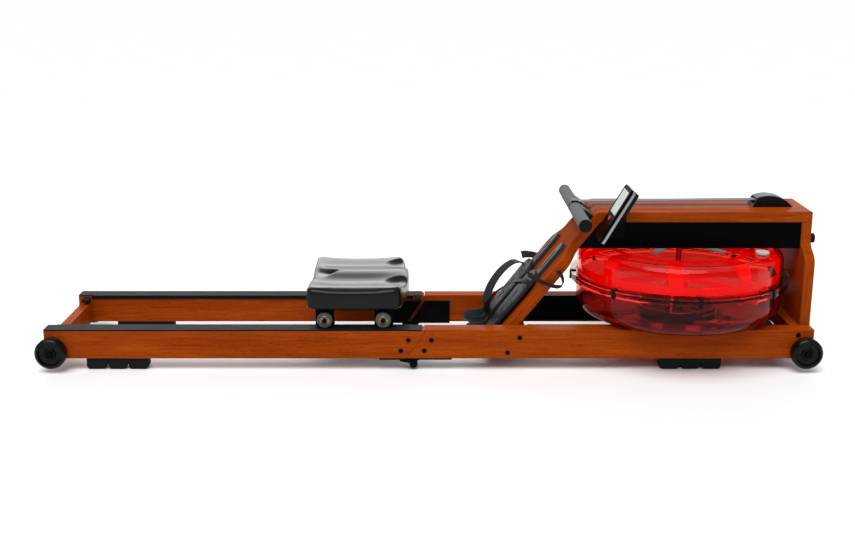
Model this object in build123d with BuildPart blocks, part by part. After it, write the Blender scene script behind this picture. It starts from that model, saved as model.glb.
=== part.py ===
"""Folding water rower: wooden rails, water tank, sliding seat, handle on a webbing strap.

Millimetres. +Z up, +X towards the tank, -Y is the rower's right hand.
The origin is on the floor, in the middle of the footprint.
"""
import os
from math import cos, radians, sin, tan

from build123d import *

os.makedirs("parts", exist_ok=True)

# Wooden rails: two sides, each split in a rear and a front section
RAIL_END = 963
RAIL_OUTER = 178
RAIL_THICK = 43
RAIL_INNER = RAIL_OUTER - RAIL_THICK
RAIL_LOW = 29
RAIL_TOP = 105
RAIL_GAP = 1
EDGE = 2.5

# Fold: the slanted cut and the hinge below it
CUT_TOP_X = -12
CUT_LOW_X = -57
CUT_NOTCH = 12
HINGE_X = -38
HINGE_Z = 15
KNUCKLE_R = 10
PIN_R = 5
LEAF = 3
PLATE = 4
PLATE_TOP = 89
PLATE_LOW = 26

# Transport wheels on their axles
WHEEL_X = 943
WHEEL_Z = 49
WHEEL_R = 39
WHEEL_IN = 180
WHEEL_OUT = 210
AXLE_R = 6
RUN_FIT = 0.05
BOLT_FIT = 0.2

# Inclined foot board, top board and front panel
SLOPE = 51.5
BOARD = 25
MITRE_X = 414
MITRE_Z = 376
DECK_TOP = 386
DECK_LOW = 360
DECK_CORNER = 26
DECK_END = 965
PANEL_IN = 939
NARROW = 88
WIDE = RAIL_INNER - 0.2
CURVE_LOW = 259
CURVE_TOP = 321
BOARD_LOW = 34
PANEL_LOW = 60

# Tank
TANK_X = 652
FLANGE_R = 280
SHELL_R = 264
TANK_LOW = 105
TANK_TOP = 289
SEAM_Z = 204
WALL = 4

# Seat and its rollers
SEAT_REAR = -305
SEAT_FRONT = -73
SEAT_BULGE = -52
SEAT_HALF = 170
SEAT_LOW = 155
SEAT_TOP = 209
ROLLER_R = 19.5
ROLLER_Z = RAIL_TOP + ROLLER_R + 0.3
ROLLER_XS = (-261, -114)
ROLLER_IN = 147
ROLLER_OUT = 167
PIN_SEAT_R = 4

# Handle, strap and pulleys
HANDLE_X = 376
HANDLE_Z = 381
HANDLE_HALF = 228
GRIP_R = 16
BAR_R = 11
STRAP_W = 28
STRAP_T = 2
PULLEY_X = 872
PULLEY_Z = 367
PULLEY_R = 34
DRUM_R = 45
DRUM_LOW = 304
DRUM_TOP = 348

# Monitor
MONITOR_IN = 98
MONITOR_OUT = 188
MONITOR_LEAN = 60
MONITOR_LOW_X = 415
MONITOR_LOW_Z = 331
MONITOR_LONG = 150
TILT_X = 479
TILT_Z = 379

# Footrests on the inclined board, measured down from its mitre
FOOT_Y = 59
FOOT_RAIL_HALF = 17
FOOT_RAIL_T = 10
FOOT_TOP = 205
FOOT_LONG = 240
FOOT_HALF_TOE = 46
FOOT_HALF_HEEL = 38

UP_X = cos(radians(SLOPE))
UP_Z = sin(radians(SLOPE))


def across(y):
    """Upright plane along the machine at the given Y; its normal points to -Y."""
    return Plane.XZ.offset(-y)


def save(piece, name):
    piece.label = name
    export_step(piece, f"parts/{name}.step")


def board_point(down, out):
    """World point on the inclined board: down from the mitre, out from its face."""
    return (MITRE_X - down * UP_X - out * UP_Z, 0, MITRE_Z - down * UP_Z + out * UP_X)


def board_plane(down=0, out=0, y=0):
    """Plane on the board's face: local x runs down the board, local y to -Y, normal outwards."""
    x, _, z = board_point(down, out)
    return Plane(origin=(x, y, z), x_dir=(-UP_X, 0, -UP_Z), z_dir=(-UP_Z, 0, UP_X))


def board_side(y):
    """Plane across the board's edge: local x up the board, local y outwards, normal to -Y."""
    return Plane(origin=(MITRE_X, y, MITRE_Z), x_dir=(UP_X, 0, UP_Z), z_dir=(0, -1, 0))


def cut_x(z):
    """The slanted cut's X at a height."""
    low, high = RAIL_LOW, RAIL_TOP - CUT_NOTCH
    return CUT_LOW_X + (z - low) * (CUT_TOP_X - CUT_LOW_X) / (high - low)


# ---------------------------------------------------------------- wooden rails

notch_z = RAIL_TOP - CUT_NOTCH
front_outline = [
    (cut_x(RAIL_LOW) + RAIL_GAP, RAIL_LOW), (RAIL_END, RAIL_LOW), (RAIL_END, RAIL_TOP),
    (CUT_TOP_X + RAIL_GAP, RAIL_TOP), (CUT_TOP_X + RAIL_GAP, notch_z),
]
TRACK_T = 3
rear_top = RAIL_TOP - TRACK_T
rear_outline = [
    (-RAIL_END, RAIL_LOW), (cut_x(RAIL_LOW), RAIL_LOW), (CUT_TOP_X, notch_z),
    (CUT_TOP_X, rear_top), (-RAIL_END, rear_top),
]
FRONT_HINGE_BOLTS = [(7, 78), (-11, 50)]
REAR_HINGE_BOLTS = [(-51, 78), (-70, 50)]
CLEAT_BOLTS = [(228, 84), (198, 45), (924, 91)]
BOLT_R = 3
HEAD_R = 6


def rail(outline, bolts, axle_x, axle_hole):
    with BuildPart() as piece:
        with BuildSketch(across(-RAIL_INNER)):
            with BuildLine():
                Polyline(*outline, close=True)
            make_face()
        extrude(amount=RAIL_THICK)
        fillet(piece.edges().filter_by(Axis.X), EDGE)
        with BuildSketch(across(-RAIL_INNER)):
            with Locations(*bolts):
                Circle(BOLT_R + BOLT_FIT)
            with Locations((axle_x, WHEEL_Z)):
                Circle(axle_hole)
        extrude(amount=RAIL_THICK, mode=Mode.SUBTRACT)
    return piece.part


front_rail = rail(front_outline, FRONT_HINGE_BOLTS + CLEAT_BOLTS, WHEEL_X, AXLE_R + RUN_FIT)
save(front_rail, "front_rail_right")
save(mirror(front_rail, about=Plane.XZ), "front_rail_left")

rear_rail = rail(rear_outline, REAR_HINGE_BOLTS, -WHEEL_X, AXLE_R + BOLT_FIT)
save(rear_rail, "rear_rail_right")
save(mirror(rear_rail, about=Plane.XZ), "rear_rail_left")

# Cross board between the rear rails
CROSS_BACK = -957
CROSS_FRONT = -930
with BuildPart() as cross_board:
    with BuildSketch(Plane.XY.offset(RAIL_LOW)):
        with Locations(((CROSS_BACK + CROSS_FRONT) / 2, 0)):
            Rectangle(CROSS_FRONT - CROSS_BACK, 2 * WIDE)
    extrude(amount=54)
    fillet(cross_board.edges().filter_by(Axis.Y), EDGE)
save(cross_board.part, "rear_cross_board")

# Tracks the seat rolls on: a strip on each rear rail with a lip down its inner face
LIP = 3
LIP_LOW = 95
LIP_BACK = -926
LIP_FRONT = -42
TRACK_FRONT = -17
with BuildPart() as tracks:
    with BuildSketch(Plane.XY.offset(rear_top)):
        with Locations(((TRACK_FRONT - RAIL_END) / 2, -(RAIL_OUTER + RAIL_INNER) / 2)):
            Rectangle(TRACK_FRONT + RAIL_END, RAIL_THICK)
    extrude(amount=TRACK_T)
    with BuildSketch(Plane.XY.offset(LIP_LOW)):
        with Locations(((LIP_BACK + LIP_FRONT) / 2, -RAIL_INNER + LIP / 2)):
            Rectangle(LIP_FRONT - LIP_BACK, LIP)
    extrude(amount=RAIL_TOP - LIP_LOW)
    mirror(about=Plane.XZ)
save(tracks.part, "seat_tracks")

# Rubber stops on the rails' inner faces, behind and in front of the seat
STOP_LOW = 90.5
STOP_HIGH = 8
with BuildPart() as stops:
    with BuildSketch(Plane.XY.offset(STOP_LOW)):
        with Locations((-939.5, -RAIL_INNER + 11.5)):
            Rectangle(19, 23)
        with Locations((-29, -RAIL_INNER + 9)):
            Rectangle(18, 18)
    extrude(amount=STOP_HIGH)
    fillet(stops.edges().filter_by(Axis.Z), 2)
    mirror(about=Plane.XZ)
save(stops.part, "seat_stops")

# ---------------------------------------------------------------- fold hinge

LEAF_REAR = (-124, -61)
LEAF_FRONT = (-53, 58)
HINGE_IN = RAIL_INNER - PLATE
KNUCKLES = [HINGE_IN, 145, 166, RAIL_OUTER]
KNUCKLE_PLAY = 0.3


def knuckle(y_in, y_out, reach_x, bore):
    """One barrel of the hinge with a web to the underside of its leaf."""
    web_start = HINGE_X if reach_x > HINGE_X else LEAF_REAR[1]
    with BuildPart() as piece:
        with BuildSketch(across(-y_in)):
            with Locations((HINGE_X, HINGE_Z)):
                Circle(KNUCKLE_R)
            with BuildLine():
                Polyline((HINGE_X, HINGE_Z), (reach_x, PLATE_LOW - 4), (reach_x, PLATE_LOW),
                         (web_start, PLATE_LOW), (HINGE_X, HINGE_Z + KNUCKLE_R - 1), close=True)
            make_face()
            with Locations((HINGE_X, HINGE_Z)):
                Circle(bore, mode=Mode.SUBTRACT)
        extrude(amount=y_out - y_in)
    return piece.part


def hinge_plate(outline, bolts, leaf):
    """Plate on the rail's inner face with a leaf turned under the rail."""
    with BuildPart() as piece:
        with BuildSketch(across(-HINGE_IN)):
            with BuildLine():
                Polyline(*outline, close=True)
            make_face()
            with Locations(*bolts):
                Circle(BOLT_R + BOLT_FIT, mode=Mode.SUBTRACT)
        extrude(amount=PLATE)
        with BuildSketch(Plane.XY.offset(PLATE_LOW)):
            with Locations(((leaf[0] + leaf[1]) / 2, -(HINGE_IN + RAIL_OUTER) / 2)):
                Rectangle(leaf[1] - leaf[0], RAIL_OUTER - HINGE_IN)
        extrude(amount=LEAF)
    return piece.part


rear_plate = hinge_plate(
    [(LEAF_REAR[0], PLATE_LOW), (LEAF_REAR[1], PLATE_LOW), (cut_x(PLATE_TOP) - 4, PLATE_TOP),
     (LEAF_REAR[0], PLATE_TOP)], REAR_HINGE_BOLTS, LEAF_REAR)
front_plate = hinge_plate(
    [(LEAF_FRONT[0], PLATE_LOW), (LEAF_FRONT[1], PLATE_LOW), (LEAF_FRONT[1], PLATE_TOP),
     (cut_x(PLATE_TOP) + 4, PLATE_TOP)], FRONT_HINGE_BOLTS, LEAF_FRONT)

with BuildPart() as hinge_rear:
    add(rear_plate)
    add(knuckle(KNUCKLES[0], KNUCKLES[1] - KNUCKLE_PLAY, LEAF_REAR[1] - 12, PIN_R))
    add(knuckle(KNUCKLES[2] + KNUCKLE_PLAY, KNUCKLES[3], LEAF_REAR[1] - 12, PIN_R))
    mirror(about=Plane.XZ)
save(hinge_rear.part, "hinge_plates_rear")

with BuildPart() as hinge_front:
    add(front_plate)
    add(knuckle(KNUCKLES[1], KNUCKLES[2], HINGE_X + 14, PIN_R + RUN_FIT))
    mirror(about=Plane.XZ)
save(hinge_front.part, "hinge_plates_front")



def bolt_row(points):
    """Button-head bolts across a rail, head on the outer face."""
    with BuildPart() as piece:
        with BuildSketch(across(-RAIL_INNER)):
            with Locations(*points):
                Circle(BOLT_R)
        extrude(amount=RAIL_THICK)
        with BuildSketch(across(-RAIL_OUTER)):
            with Locations(*points):
                Circle(HEAD_R)
        extrude(amount=2.4, taper=35)
        mirror(about=Plane.XZ)
    return piece.part


save(bolt_row(FRONT_HINGE_BOLTS + CLEAT_BOLTS), "front_frame_bolts")

# ---------------------------------------------------------------- feet, wheels and axles


def feet(x_low, x_high):
    """Rubber block under each rail, three lobes parted by notches."""
    lobe = (x_high - x_low) / 3
    with BuildPart() as piece:
        with BuildSketch(across(-RAIL_INNER - 5)):
            with Locations(((x_low + x_high) / 2, RAIL_LOW / 2)):
                Rectangle(x_high - x_low, RAIL_LOW)
            for split in (1, 2):
                x = x_low + split * lobe
                with BuildLine():
                    Polyline((x - 8, 0), (x, 13), (x + 8, 0), close=True)
                make_face(mode=Mode.SUBTRACT)
        extrude(amount=RAIL_THICK - 10)
        fillet(piece.edges().filter_by(Axis.Z), 3)
        mirror(about=Plane.XZ)
    return piece.part


save(feet(-861, -708), "rear_feet")
save(feet(582, 736), "front_feet")


def wheel(x, side):
    """Moulded wheel on its axle; side is -1 for the right-hand side, +1 for the left."""
    mid = WHEEL_IN + 8
    with BuildPart() as piece:
        with BuildSketch(Plane((x, 0, WHEEL_Z))):
            with BuildLine():
                Polyline((AXLE_R + RUN_FIT, side * WHEEL_IN), (WHEEL_R, side * WHEEL_IN),
                         (WHEEL_R, side * WHEEL_OUT), (25, side * WHEEL_OUT), (23, side * (WHEEL_OUT - 7)),
                         (14, side * (WHEEL_OUT - 7)), (13, side * (WHEEL_OUT - 2)),
                         (AXLE_R + RUN_FIT, side * (WHEEL_OUT - 2)), close=True)
            make_face()
        revolve(axis=Axis((x, mid * side, WHEEL_Z), (0, 1, 0)))
        rims = piece.edges().filter_by(GeomType.CIRCLE).filter_by(lambda e: e.radius > WHEEL_R - 0.1)
        fillet(rims, 7)
    return piece.part


for x, end in ((WHEEL_X, "front"), (-WHEEL_X, "rear")):
    for side, hand in ((-1, "right"), (1, "left")):
        save(wheel(x, side), f"{end}_wheel_{hand}")

COLLAR_R = 10
CAP_R = 11
axle_side = [
    (AXLE_R, RAIL_OUTER + 0.3), (COLLAR_R, RAIL_OUTER + 0.3), (COLLAR_R, WHEEL_IN - 0.3),
    (AXLE_R, WHEEL_IN - 0.3), (AXLE_R, WHEEL_OUT - 1.7), (CAP_R, WHEEL_OUT - 1.7),
    (CAP_R - 2, WHEEL_OUT + 3), (0, WHEEL_OUT + 3),
]
with BuildPart() as front_axle:
    with BuildSketch(Plane((WHEEL_X, 0, WHEEL_Z))):
        with BuildLine():
            Polyline((0, 0), (AXLE_R, 0), *axle_side, close=True)
        make_face()
    revolve(axis=Axis((WHEEL_X, 0, WHEEL_Z), (0, 1, 0)))
    mirror(about=Plane.XZ)
save(front_axle.part, "front_axle")

with BuildPart() as rear_axles:
    with BuildSketch(Plane((-WHEEL_X, 0, WHEEL_Z))):
        with BuildLine():
            Polyline((0, RAIL_INNER + 1), (AXLE_R, RAIL_INNER + 1), *axle_side, close=True)
        make_face()
    revolve(axis=Axis((-WHEEL_X, 0, WHEEL_Z), (0, 1, 0)))
    mirror(about=Plane.XZ)
# Rear hinge bolts, the rear wheels' stub axles and the two hinge pins
with BuildPart() as rear_bolts:
    add(bolt_row(REAR_HINGE_BOLTS))
    add(rear_axles.part)
    with BuildSketch(across(-HINGE_IN)):
        with Locations((HINGE_X, HINGE_Z)):
            Circle(PIN_R)
    extrude(amount=RAIL_OUTER - HINGE_IN)
    with BuildSketch(across(HINGE_IN)):
        with Locations((HINGE_X, HINGE_Z)):
            Circle(PIN_R)
    extrude(amount=-(RAIL_OUTER - HINGE_IN))
save(rear_bolts.part, "rear_frame_bolts")

# ---------------------------------------------------------------- boards over the tank

under_x = MITRE_X + BOARD * UP_Z
under_z = MITRE_Z - BOARD * UP_X
curve_low = (MITRE_Z - CURVE_LOW) / UP_Z
curve_top = (MITRE_Z - CURVE_TOP) / UP_Z
board_down = (MITRE_Z - BOARD_LOW) / UP_Z


def s_outline(top, upper, lower, low):
    """Outline from narrow to wide and back, along a local axis, with tangent curves."""
    Polyline((upper, -NARROW), (top, -NARROW), (top, NARROW), (upper, NARROW))
    Spline((upper, NARROW), (lower, WIDE), tangents=((lower - upper, 0), (lower - upper, 0)))
    Polyline((lower, WIDE), (low, WIDE), (low, -WIDE), (lower, -WIDE))
    Spline((lower, -WIDE), (upper, -NARROW), tangents=((upper - lower, 0), (upper - lower, 0)))


with BuildPart() as foot_board:
    with BuildSketch(Plane.XZ):
        with BuildLine():
            Polyline((MITRE_X, MITRE_Z), (under_x, under_z),
                     (under_x - (under_z - BOARD_LOW) / tan(radians(SLOPE)), BOARD_LOW),
                     (MITRE_X - (MITRE_Z - BOARD_LOW) / tan(radians(SLOPE)), BOARD_LOW), close=True)
        make_face()
    extrude(amount=WIDE, both=True)
    with BuildSketch(board_plane(out=10)):
        with BuildLine():
            s_outline(-1, curve_top, curve_low, board_down + 40)
        make_face()
    extrude(amount=-60, mode=Mode.INTERSECT)
    fillet(foot_board.edges().filter_by(lambda e: e.center().Z < MITRE_Z - 20 and abs(e.center().Y) > 80), EDGE)
save(foot_board.part, "foot_board")

SLOT = (832, 912)
SLOT_HALF = 23.5
with BuildPart() as top_board:
    with BuildSketch(Plane.XZ):
        corner_x = MITRE_X + (DECK_TOP - MITRE_Z) / tan(radians(SLOPE))
        turn = DECK_CORNER * tan(radians(SLOPE) / 2)
        with BuildLine():
            Polyline((under_x, under_z), (MITRE_X, MITRE_Z))
            Line((MITRE_X, MITRE_Z), (corner_x - turn * UP_X, DECK_TOP - turn * UP_Z))
            TangentArc((corner_x - turn * UP_X, DECK_TOP - turn * UP_Z), (corner_x + turn, DECK_TOP),
                       tangent=(UP_X, UP_Z))
            Polyline((corner_x + turn, DECK_TOP), (DECK_END, DECK_TOP), (DECK_END, DECK_LOW),
                     (under_x, DECK_LOW), (under_x, under_z))
        make_face()
    extrude(amount=NARROW, both=True)
    with BuildSketch(Plane.XY.offset(DECK_LOW)):
        with Locations(((SLOT[0] + SLOT[1]) / 2, 0)):
            Rectangle(SLOT[1] - SLOT[0], 2 * SLOT_HALF)
    extrude(amount=DECK_TOP - DECK_LOW, mode=Mode.SUBTRACT)
    fillet(top_board.edges().filter_by(lambda e: abs(e.center().Y) > NARROW - 1 and e.center().Z > DECK_LOW + 20), EDGE)
    fillet(top_board.edges().filter_by(lambda e: abs(e.center().Y) < 1 and e.center().X > DECK_END - 1
                                       and e.center().Z > DECK_LOW + 10), EDGE)
save(top_board.part, "top_board")

with BuildPart() as front_panel:
    with BuildSketch(Plane(origin=(PANEL_IN, 0, 0), x_dir=(0, 0, -1), z_dir=(1, 0, 0))):
        with BuildLine():
            s_outline(-DECK_LOW, -CURVE_TOP, -CURVE_LOW, -PANEL_LOW)
        make_face()
    extrude(amount=DECK_END - PANEL_IN)
    fillet(front_panel.edges().filter_by(lambda e: abs(e.center().Y) > NARROW - 1), EDGE)
save(front_panel.part, "front_panel")

# Battens between the rails that the two upright boards are screwed to
CLEAT = 24
with BuildPart() as cleats:
    with BuildSketch(board_plane(out=-BOARD)):
        with Locations((board_down - 72, 0)):
            Rectangle(70, 2 * WIDE)
    extrude(amount=-CLEAT)
    with BuildSketch(Plane.XY.offset(64)):
        with Locations((PANEL_IN - CLEAT / 2, 0)):
            Rectangle(CLEAT, 2 * WIDE)
    extrude(amount=38)
save(cleats.part, "board_cleats")

# Black side panels under the top board
SIDE_OUT = 86
SIDE_T = 4
SIDE_LOW = 292
under_shift = (under_z - DECK_LOW) / tan(radians(SLOPE)) - 0.3
side_corner = under_x - (under_z - SIDE_LOW) / tan(radians(SLOPE)) + 0.3
with BuildPart() as side_panels:
    with BuildSketch(across(-SIDE_OUT + SIDE_T)):
        with BuildLine():
            Polyline((side_corner, SIDE_LOW), (PANEL_IN, SIDE_LOW), (PANEL_IN, DECK_LOW),
                     (under_x - under_shift, DECK_LOW), close=True)
        make_face()
    extrude(amount=SIDE_T)
    mirror(about=Plane.XZ)
save(side_panels.part, "side_panels")

# Steel bearers on the rails' inner faces, with a tray between them at the front
BEARER_T = 3
with BuildPart() as bearers:
    with BuildSketch(across(-RAIL_INNER + 0.2 + BEARER_T)):
        with Locations((582, 70)):
            Rectangle(664, 70)
    extrude(amount=BEARER_T)
    mirror(about=Plane.XZ)
    with BuildSketch(Plane.XY.offset(62)):
        with Locations((892, 0)):
            Rectangle(40, 2 * (RAIL_INNER - BEARER_T - 0.6))
    extrude(amount=BEARER_T)
save(bearers.part, "tank_bearers")

# ---------------------------------------------------------------- tank

TANK = Plane((TANK_X, 0, 0), x_dir=(1, 0, 0), z_dir=(0, -1, 0))
TANK_AXIS = Axis((TANK_X, 0, 0), (0, 0, 1))
FLANGE_T = 8.5
NECK_R = 24
PLUG_AT = (182, -124)
PLUG_R = 13


def shell_wall(r, shoulder_r, crown_r, low_z, side_z, shoulder_z, top_z):
    """Half outline of the tank wall from its lower edge over the shoulder to the crown."""
    Line((r, low_z), (r, side_z))
    TangentArc((r, side_z), (shoulder_r, shoulder_z), tangent=(0, side_z - low_z))
    Line((shoulder_r, shoulder_z), (crown_r, top_z))


with BuildPart() as upper_shell:
    with BuildSketch(TANK):
        with BuildLine():
            Polyline((SHELL_R - WALL, SEAM_Z), (FLANGE_R, SEAM_Z), (FLANGE_R, SEAM_Z + FLANGE_T),
                     (SHELL_R, SEAM_Z + FLANGE_T))
            shell_wall(SHELL_R, 236, 170, SEAM_Z + FLANGE_T, 257, 285, TANK_TOP)
            Polyline((170, TANK_TOP), (NECK_R, TANK_TOP), (NECK_R, TANK_TOP - WALL),
                     (170, TANK_TOP - WALL))
            shell_wall(SHELL_R - WALL, 235, 170, SEAM_Z, 257, 281, TANK_TOP - WALL)
        make_face()
    revolve(axis=TANK_AXIS)
    with BuildSketch(Plane.XY.offset(TANK_TOP - 12)):
        with Locations((TANK_X + PLUG_AT[0], PLUG_AT[1])):
            Circle(PLUG_R + 0.4)
    extrude(amount=20, mode=Mode.SUBTRACT)
save(upper_shell.part, "tank_upper_shell")

with BuildPart() as lower_shell:
    with BuildSketch(TANK):
        with BuildLine():
            top = SEAM_Z - 1.6
            Polyline((SHELL_R, top - FLANGE_T), (FLANGE_R, top - FLANGE_T), (FLANGE_R, top),
                     (SHELL_R - WALL, top))
            shell_wall(SHELL_R, 226, 0, top - FLANGE_T, 148, TANK_LOW, TANK_LOW)
            Line((0, TANK_LOW), (0, TANK_LOW + WALL))
            shell_wall(SHELL_R - WALL, 224, 0, top, 148, TANK_LOW + WALL, TANK_LOW + WALL)
        make_face()
    revolve(axis=TANK_AXIS)
save(lower_shell.part, "tank_lower_shell")

with BuildPart() as gasket:
    with BuildSketch(Plane.XY.offset(SEAM_Z - 1.6)):
        with Locations((TANK_X, 0)):
            Circle(FLANGE_R - 1)
            Circle(SHELL_R - 1, mode=Mode.SUBTRACT)
    extrude(amount=1.6)
save(gasket.part, "tank_gasket")

# Clips that hold the two flanges together
CLIP_HALF = 4.5
clip_low = SEAM_Z - 1.6 - FLANGE_T
clip_top = SEAM_Z + FLANGE_T
with BuildPart() as clips:
    with BuildSketch(Plane((TANK_X, 0, 0), x_dir=(1, 0, 0), z_dir=(0, -1, 0))):
        with BuildLine():
            Polyline((267, clip_low), (267, clip_low - 3), (FLANGE_R + 3, clip_low - 3),
                     (FLANGE_R + 3, clip_top + 3), (267, clip_top + 3), (267, clip_top),
                     (FLANGE_R + 0.2, clip_top), (FLANGE_R + 0.2, clip_low), close=True)
        make_face()
    extrude(amount=CLIP_HALF, both=True)
one_clip = clips.part
with BuildPart() as tank_clips:
    for turn_deg in range(0, 360, 45):
        add(one_clip.rotate(TANK_AXIS, turn_deg))
save(tank_clips.part, "tank_clips")

# Red ring inside the upper shell: a band on the wall with ribs that lean in to a top ring
BAND_R = 256
RIB_COUNT = 9
RIB_TURN = -3
with BuildPart() as insert:
    with BuildSketch(TANK):
        with BuildLine():
            Line((BAND_R, 214), (BAND_R, 250))
            TangentArc((BAND_R, 250), (214, 279), tangent=(0, 1))
            Polyline((214, 279), (176, 279), (176, 276), (212, 276))
            TangentArc((212, 276), (BAND_R - 3, 248), tangent=(1, 0))
            Polyline((BAND_R - 3, 248), (BAND_R - 3, 214), (BAND_R, 214))
        make_face()
    revolve(axis=TANK_AXIS)
    with BuildSketch(Plane.XY.offset(234)):
        with Locations((TANK_X, 0)):
            Circle(BAND_R + 4)
            Circle(188, mode=Mode.SUBTRACT)
            for rib in range(RIB_COUNT):
                angle = 360 / RIB_COUNT * (rib + 0.5) + RIB_TURN
                with Locations(Rot(0, 0, angle) * Pos(222, 0)):
                    Rectangle(90, 34, mode=Mode.SUBTRACT)
    extrude(amount=60, mode=Mode.SUBTRACT)
save(insert.part, "tank_insert")

# Round foot of the rotor inside the tank, with a bush for the shaft
BASE_R = 100
SHAFT_R = 7
with BuildPart() as tank_base:
    with BuildSketch(Plane.XY.offset(TANK_LOW + WALL)):
        with Locations((TANK_X, 0)):
            Circle(BASE_R)
            Circle(SHAFT_R + RUN_FIT, mode=Mode.SUBTRACT)
    extrude(amount=16)
    with BuildSketch(Plane.XY.offset(TANK_LOW + WALL + 16)):
        with Locations((TANK_X, 0)):
            with PolarLocations(66, 12):
                SlotOverall(40, 12)
    extrude(amount=-6, mode=Mode.SUBTRACT)
save(tank_base.part, "tank_base")

# ---------------------------------------------------------------- rotor, bearing and drum

with BuildPart() as shaft:
    with BuildSketch(Plane.XY.offset(TANK_LOW + WALL + 2)):
        with Locations((TANK_X, 0)):
            Circle(SHAFT_R)
    extrude(amount=DRUM_TOP + 6 - TANK_LOW - WALL - 2)
save(shaft.part, "rotor_shaft")

BLADES = 6
HUB_R = 30
with BuildPart() as paddles:
    with BuildSketch(Plane.XY.offset(150)):
        with Locations((TANK_X, 0)):
            Circle(HUB_R)
            Circle(SHAFT_R + 0.02, mode=Mode.SUBTRACT)
    extrude(amount=56)
    for blade in range(BLADES):
        heading = radians(15 + 360 / BLADES * blade)
        spin = Plane((TANK_X, 0, 0), x_dir=(cos(heading), sin(heading), 0),
                     z_dir=(sin(heading), -cos(heading), 0))
        with BuildSketch(spin):
            with BuildLine():
                Polyline((HUB_R - 3, 204), (236, 204), (236, 166), (120, 186), (HUB_R - 3, 188), close=True)
            make_face()
        extrude(amount=1.6, both=True)
save(paddles.part, "rotor_paddles")

ARMS = 5
with BuildPart() as spider:
    with BuildSketch(Plane.XY.offset(TANK_TOP + 0.2)):
        with Locations((TANK_X, 0)):
            Circle(34)
            with PolarLocations(84, ARMS, start_angle=90):
                SlotOverall(136, 22)
            Circle(SHAFT_R + RUN_FIT, mode=Mode.SUBTRACT)
    extrude(amount=2.5)
    with BuildSketch(Plane.XY.offset(TANK_TOP + 2)):
        with Locations((TANK_X, 0)):
            Circle(20)
            Circle(SHAFT_R + RUN_FIT, mode=Mode.SUBTRACT)
    extrude(amount=11)
save(spider.part, "bearing_spider")

with BuildPart() as drum:
    with BuildSketch(Plane.XY.offset(DRUM_LOW)):
        with Locations((TANK_X, 0)):
            Circle(DRUM_R + 12)
    extrude(amount=DRUM_TOP - DRUM_LOW)
    with BuildSketch(Plane.XY.offset(DRUM_LOW + 4)):
        with Locations((TANK_X, 0)):
            Circle(DRUM_R + 12)
            Circle(DRUM_R, mode=Mode.SUBTRACT)
    extrude(amount=DRUM_TOP - DRUM_LOW - 8, mode=Mode.SUBTRACT)
    with BuildSketch(Plane.XY.offset(DRUM_LOW)):
        with Locations((TANK_X, 0)):
            Circle(SHAFT_R + RUN_FIT)
    extrude(amount=DRUM_TOP - DRUM_LOW, mode=Mode.SUBTRACT)
    with BuildSketch(Plane.XY.offset(DRUM_LOW + 4)):
        with Locations((TANK_X, 0)):
            Circle(DRUM_R - 6)
            Circle(SHAFT_R + 6, mode=Mode.SUBTRACT)
    extrude(amount=DRUM_TOP - DRUM_LOW - 8, mode=Mode.SUBTRACT)
save(drum.part, "strap_drum")

# Flat spiral spring in the drum that winds the strap back
SPRING_TURNS = 4
with BuildPart() as recoil:
    with BuildSketch(Plane.XY.offset(DRUM_LOW + 6)):
        for turn_no in range(SPRING_TURNS):
            with Locations((TANK_X, 0)):
                Circle(DRUM_R - 8 - 5 * turn_no)
                Circle(DRUM_R - 10 - 5 * turn_no, mode=Mode.SUBTRACT)
        with Locations((TANK_X + DRUM_R - 17.5, 0)):
            Rectangle(17, 3)
    extrude(amount=DRUM_TOP - DRUM_LOW - 12)
save(recoil.part, "recoil_spring")

with BuildPart() as plug:
    with BuildSketch(Plane.XY.offset(TANK_TOP - 6.5)):
        with Locations((TANK_X + PLUG_AT[0], PLUG_AT[1])):
            Circle(PLUG_R - 0.4)
    extrude(amount=7)
    with BuildSketch(Plane.XY.offset(TANK_TOP - 1.5)):
        with Locations((TANK_X + PLUG_AT[0], PLUG_AT[1])):
            Circle(PLUG_R + 4)
    extrude(amount=6.5)
    fillet(plug.edges().filter_by(GeomType.CIRCLE).group_by(Axis.Z)[-1], 1.5)
save(plug.part, "tank_plug")

# ---------------------------------------------------------------- pulley, cover and strap

with BuildPart() as pulley:
    with BuildSketch(Plane((PULLEY_X, 0, PULLEY_Z))):
        with BuildLine():
            Polyline((AXLE_R + RUN_FIT, -17.5), (PULLEY_R + 3, -17.5), (PULLEY_R + 3, -15.5), (PULLEY_R, -15),
                     (PULLEY_R, 15), (PULLEY_R + 3, 15.5), (PULLEY_R + 3, 17.5), (AXLE_R + RUN_FIT, 17.5),
                     close=True)
        make_face()
    revolve(axis=Axis((PULLEY_X, 0, PULLEY_Z), (0, 1, 0)))
save(pulley.part, "top_pulley")

with BuildPart() as pulley_frame:
    with BuildSketch(across(-19)):
        with Locations((PULLEY_X, 362)):
            Rectangle(26, 44)
        with Locations((PULLEY_X, DECK_LOW - BEARER_T / 2 - 0.2)):
            Rectangle(60, BEARER_T)
    extrude(amount=3)
    with BuildSketch(Plane.XY.offset(DECK_LOW - 0.2)):
        with Locations((PULLEY_X, -30)):
            Rectangle(60, 22)
    extrude(amount=-BEARER_T)
    with BuildSketch(Plane.XZ):
        with Locations((PULLEY_X, PULLEY_Z)):
            Circle(AXLE_R)
    extrude(amount=22)
    mirror(about=Plane.XZ)
save(pulley_frame.part, "pulley_frame")

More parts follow.
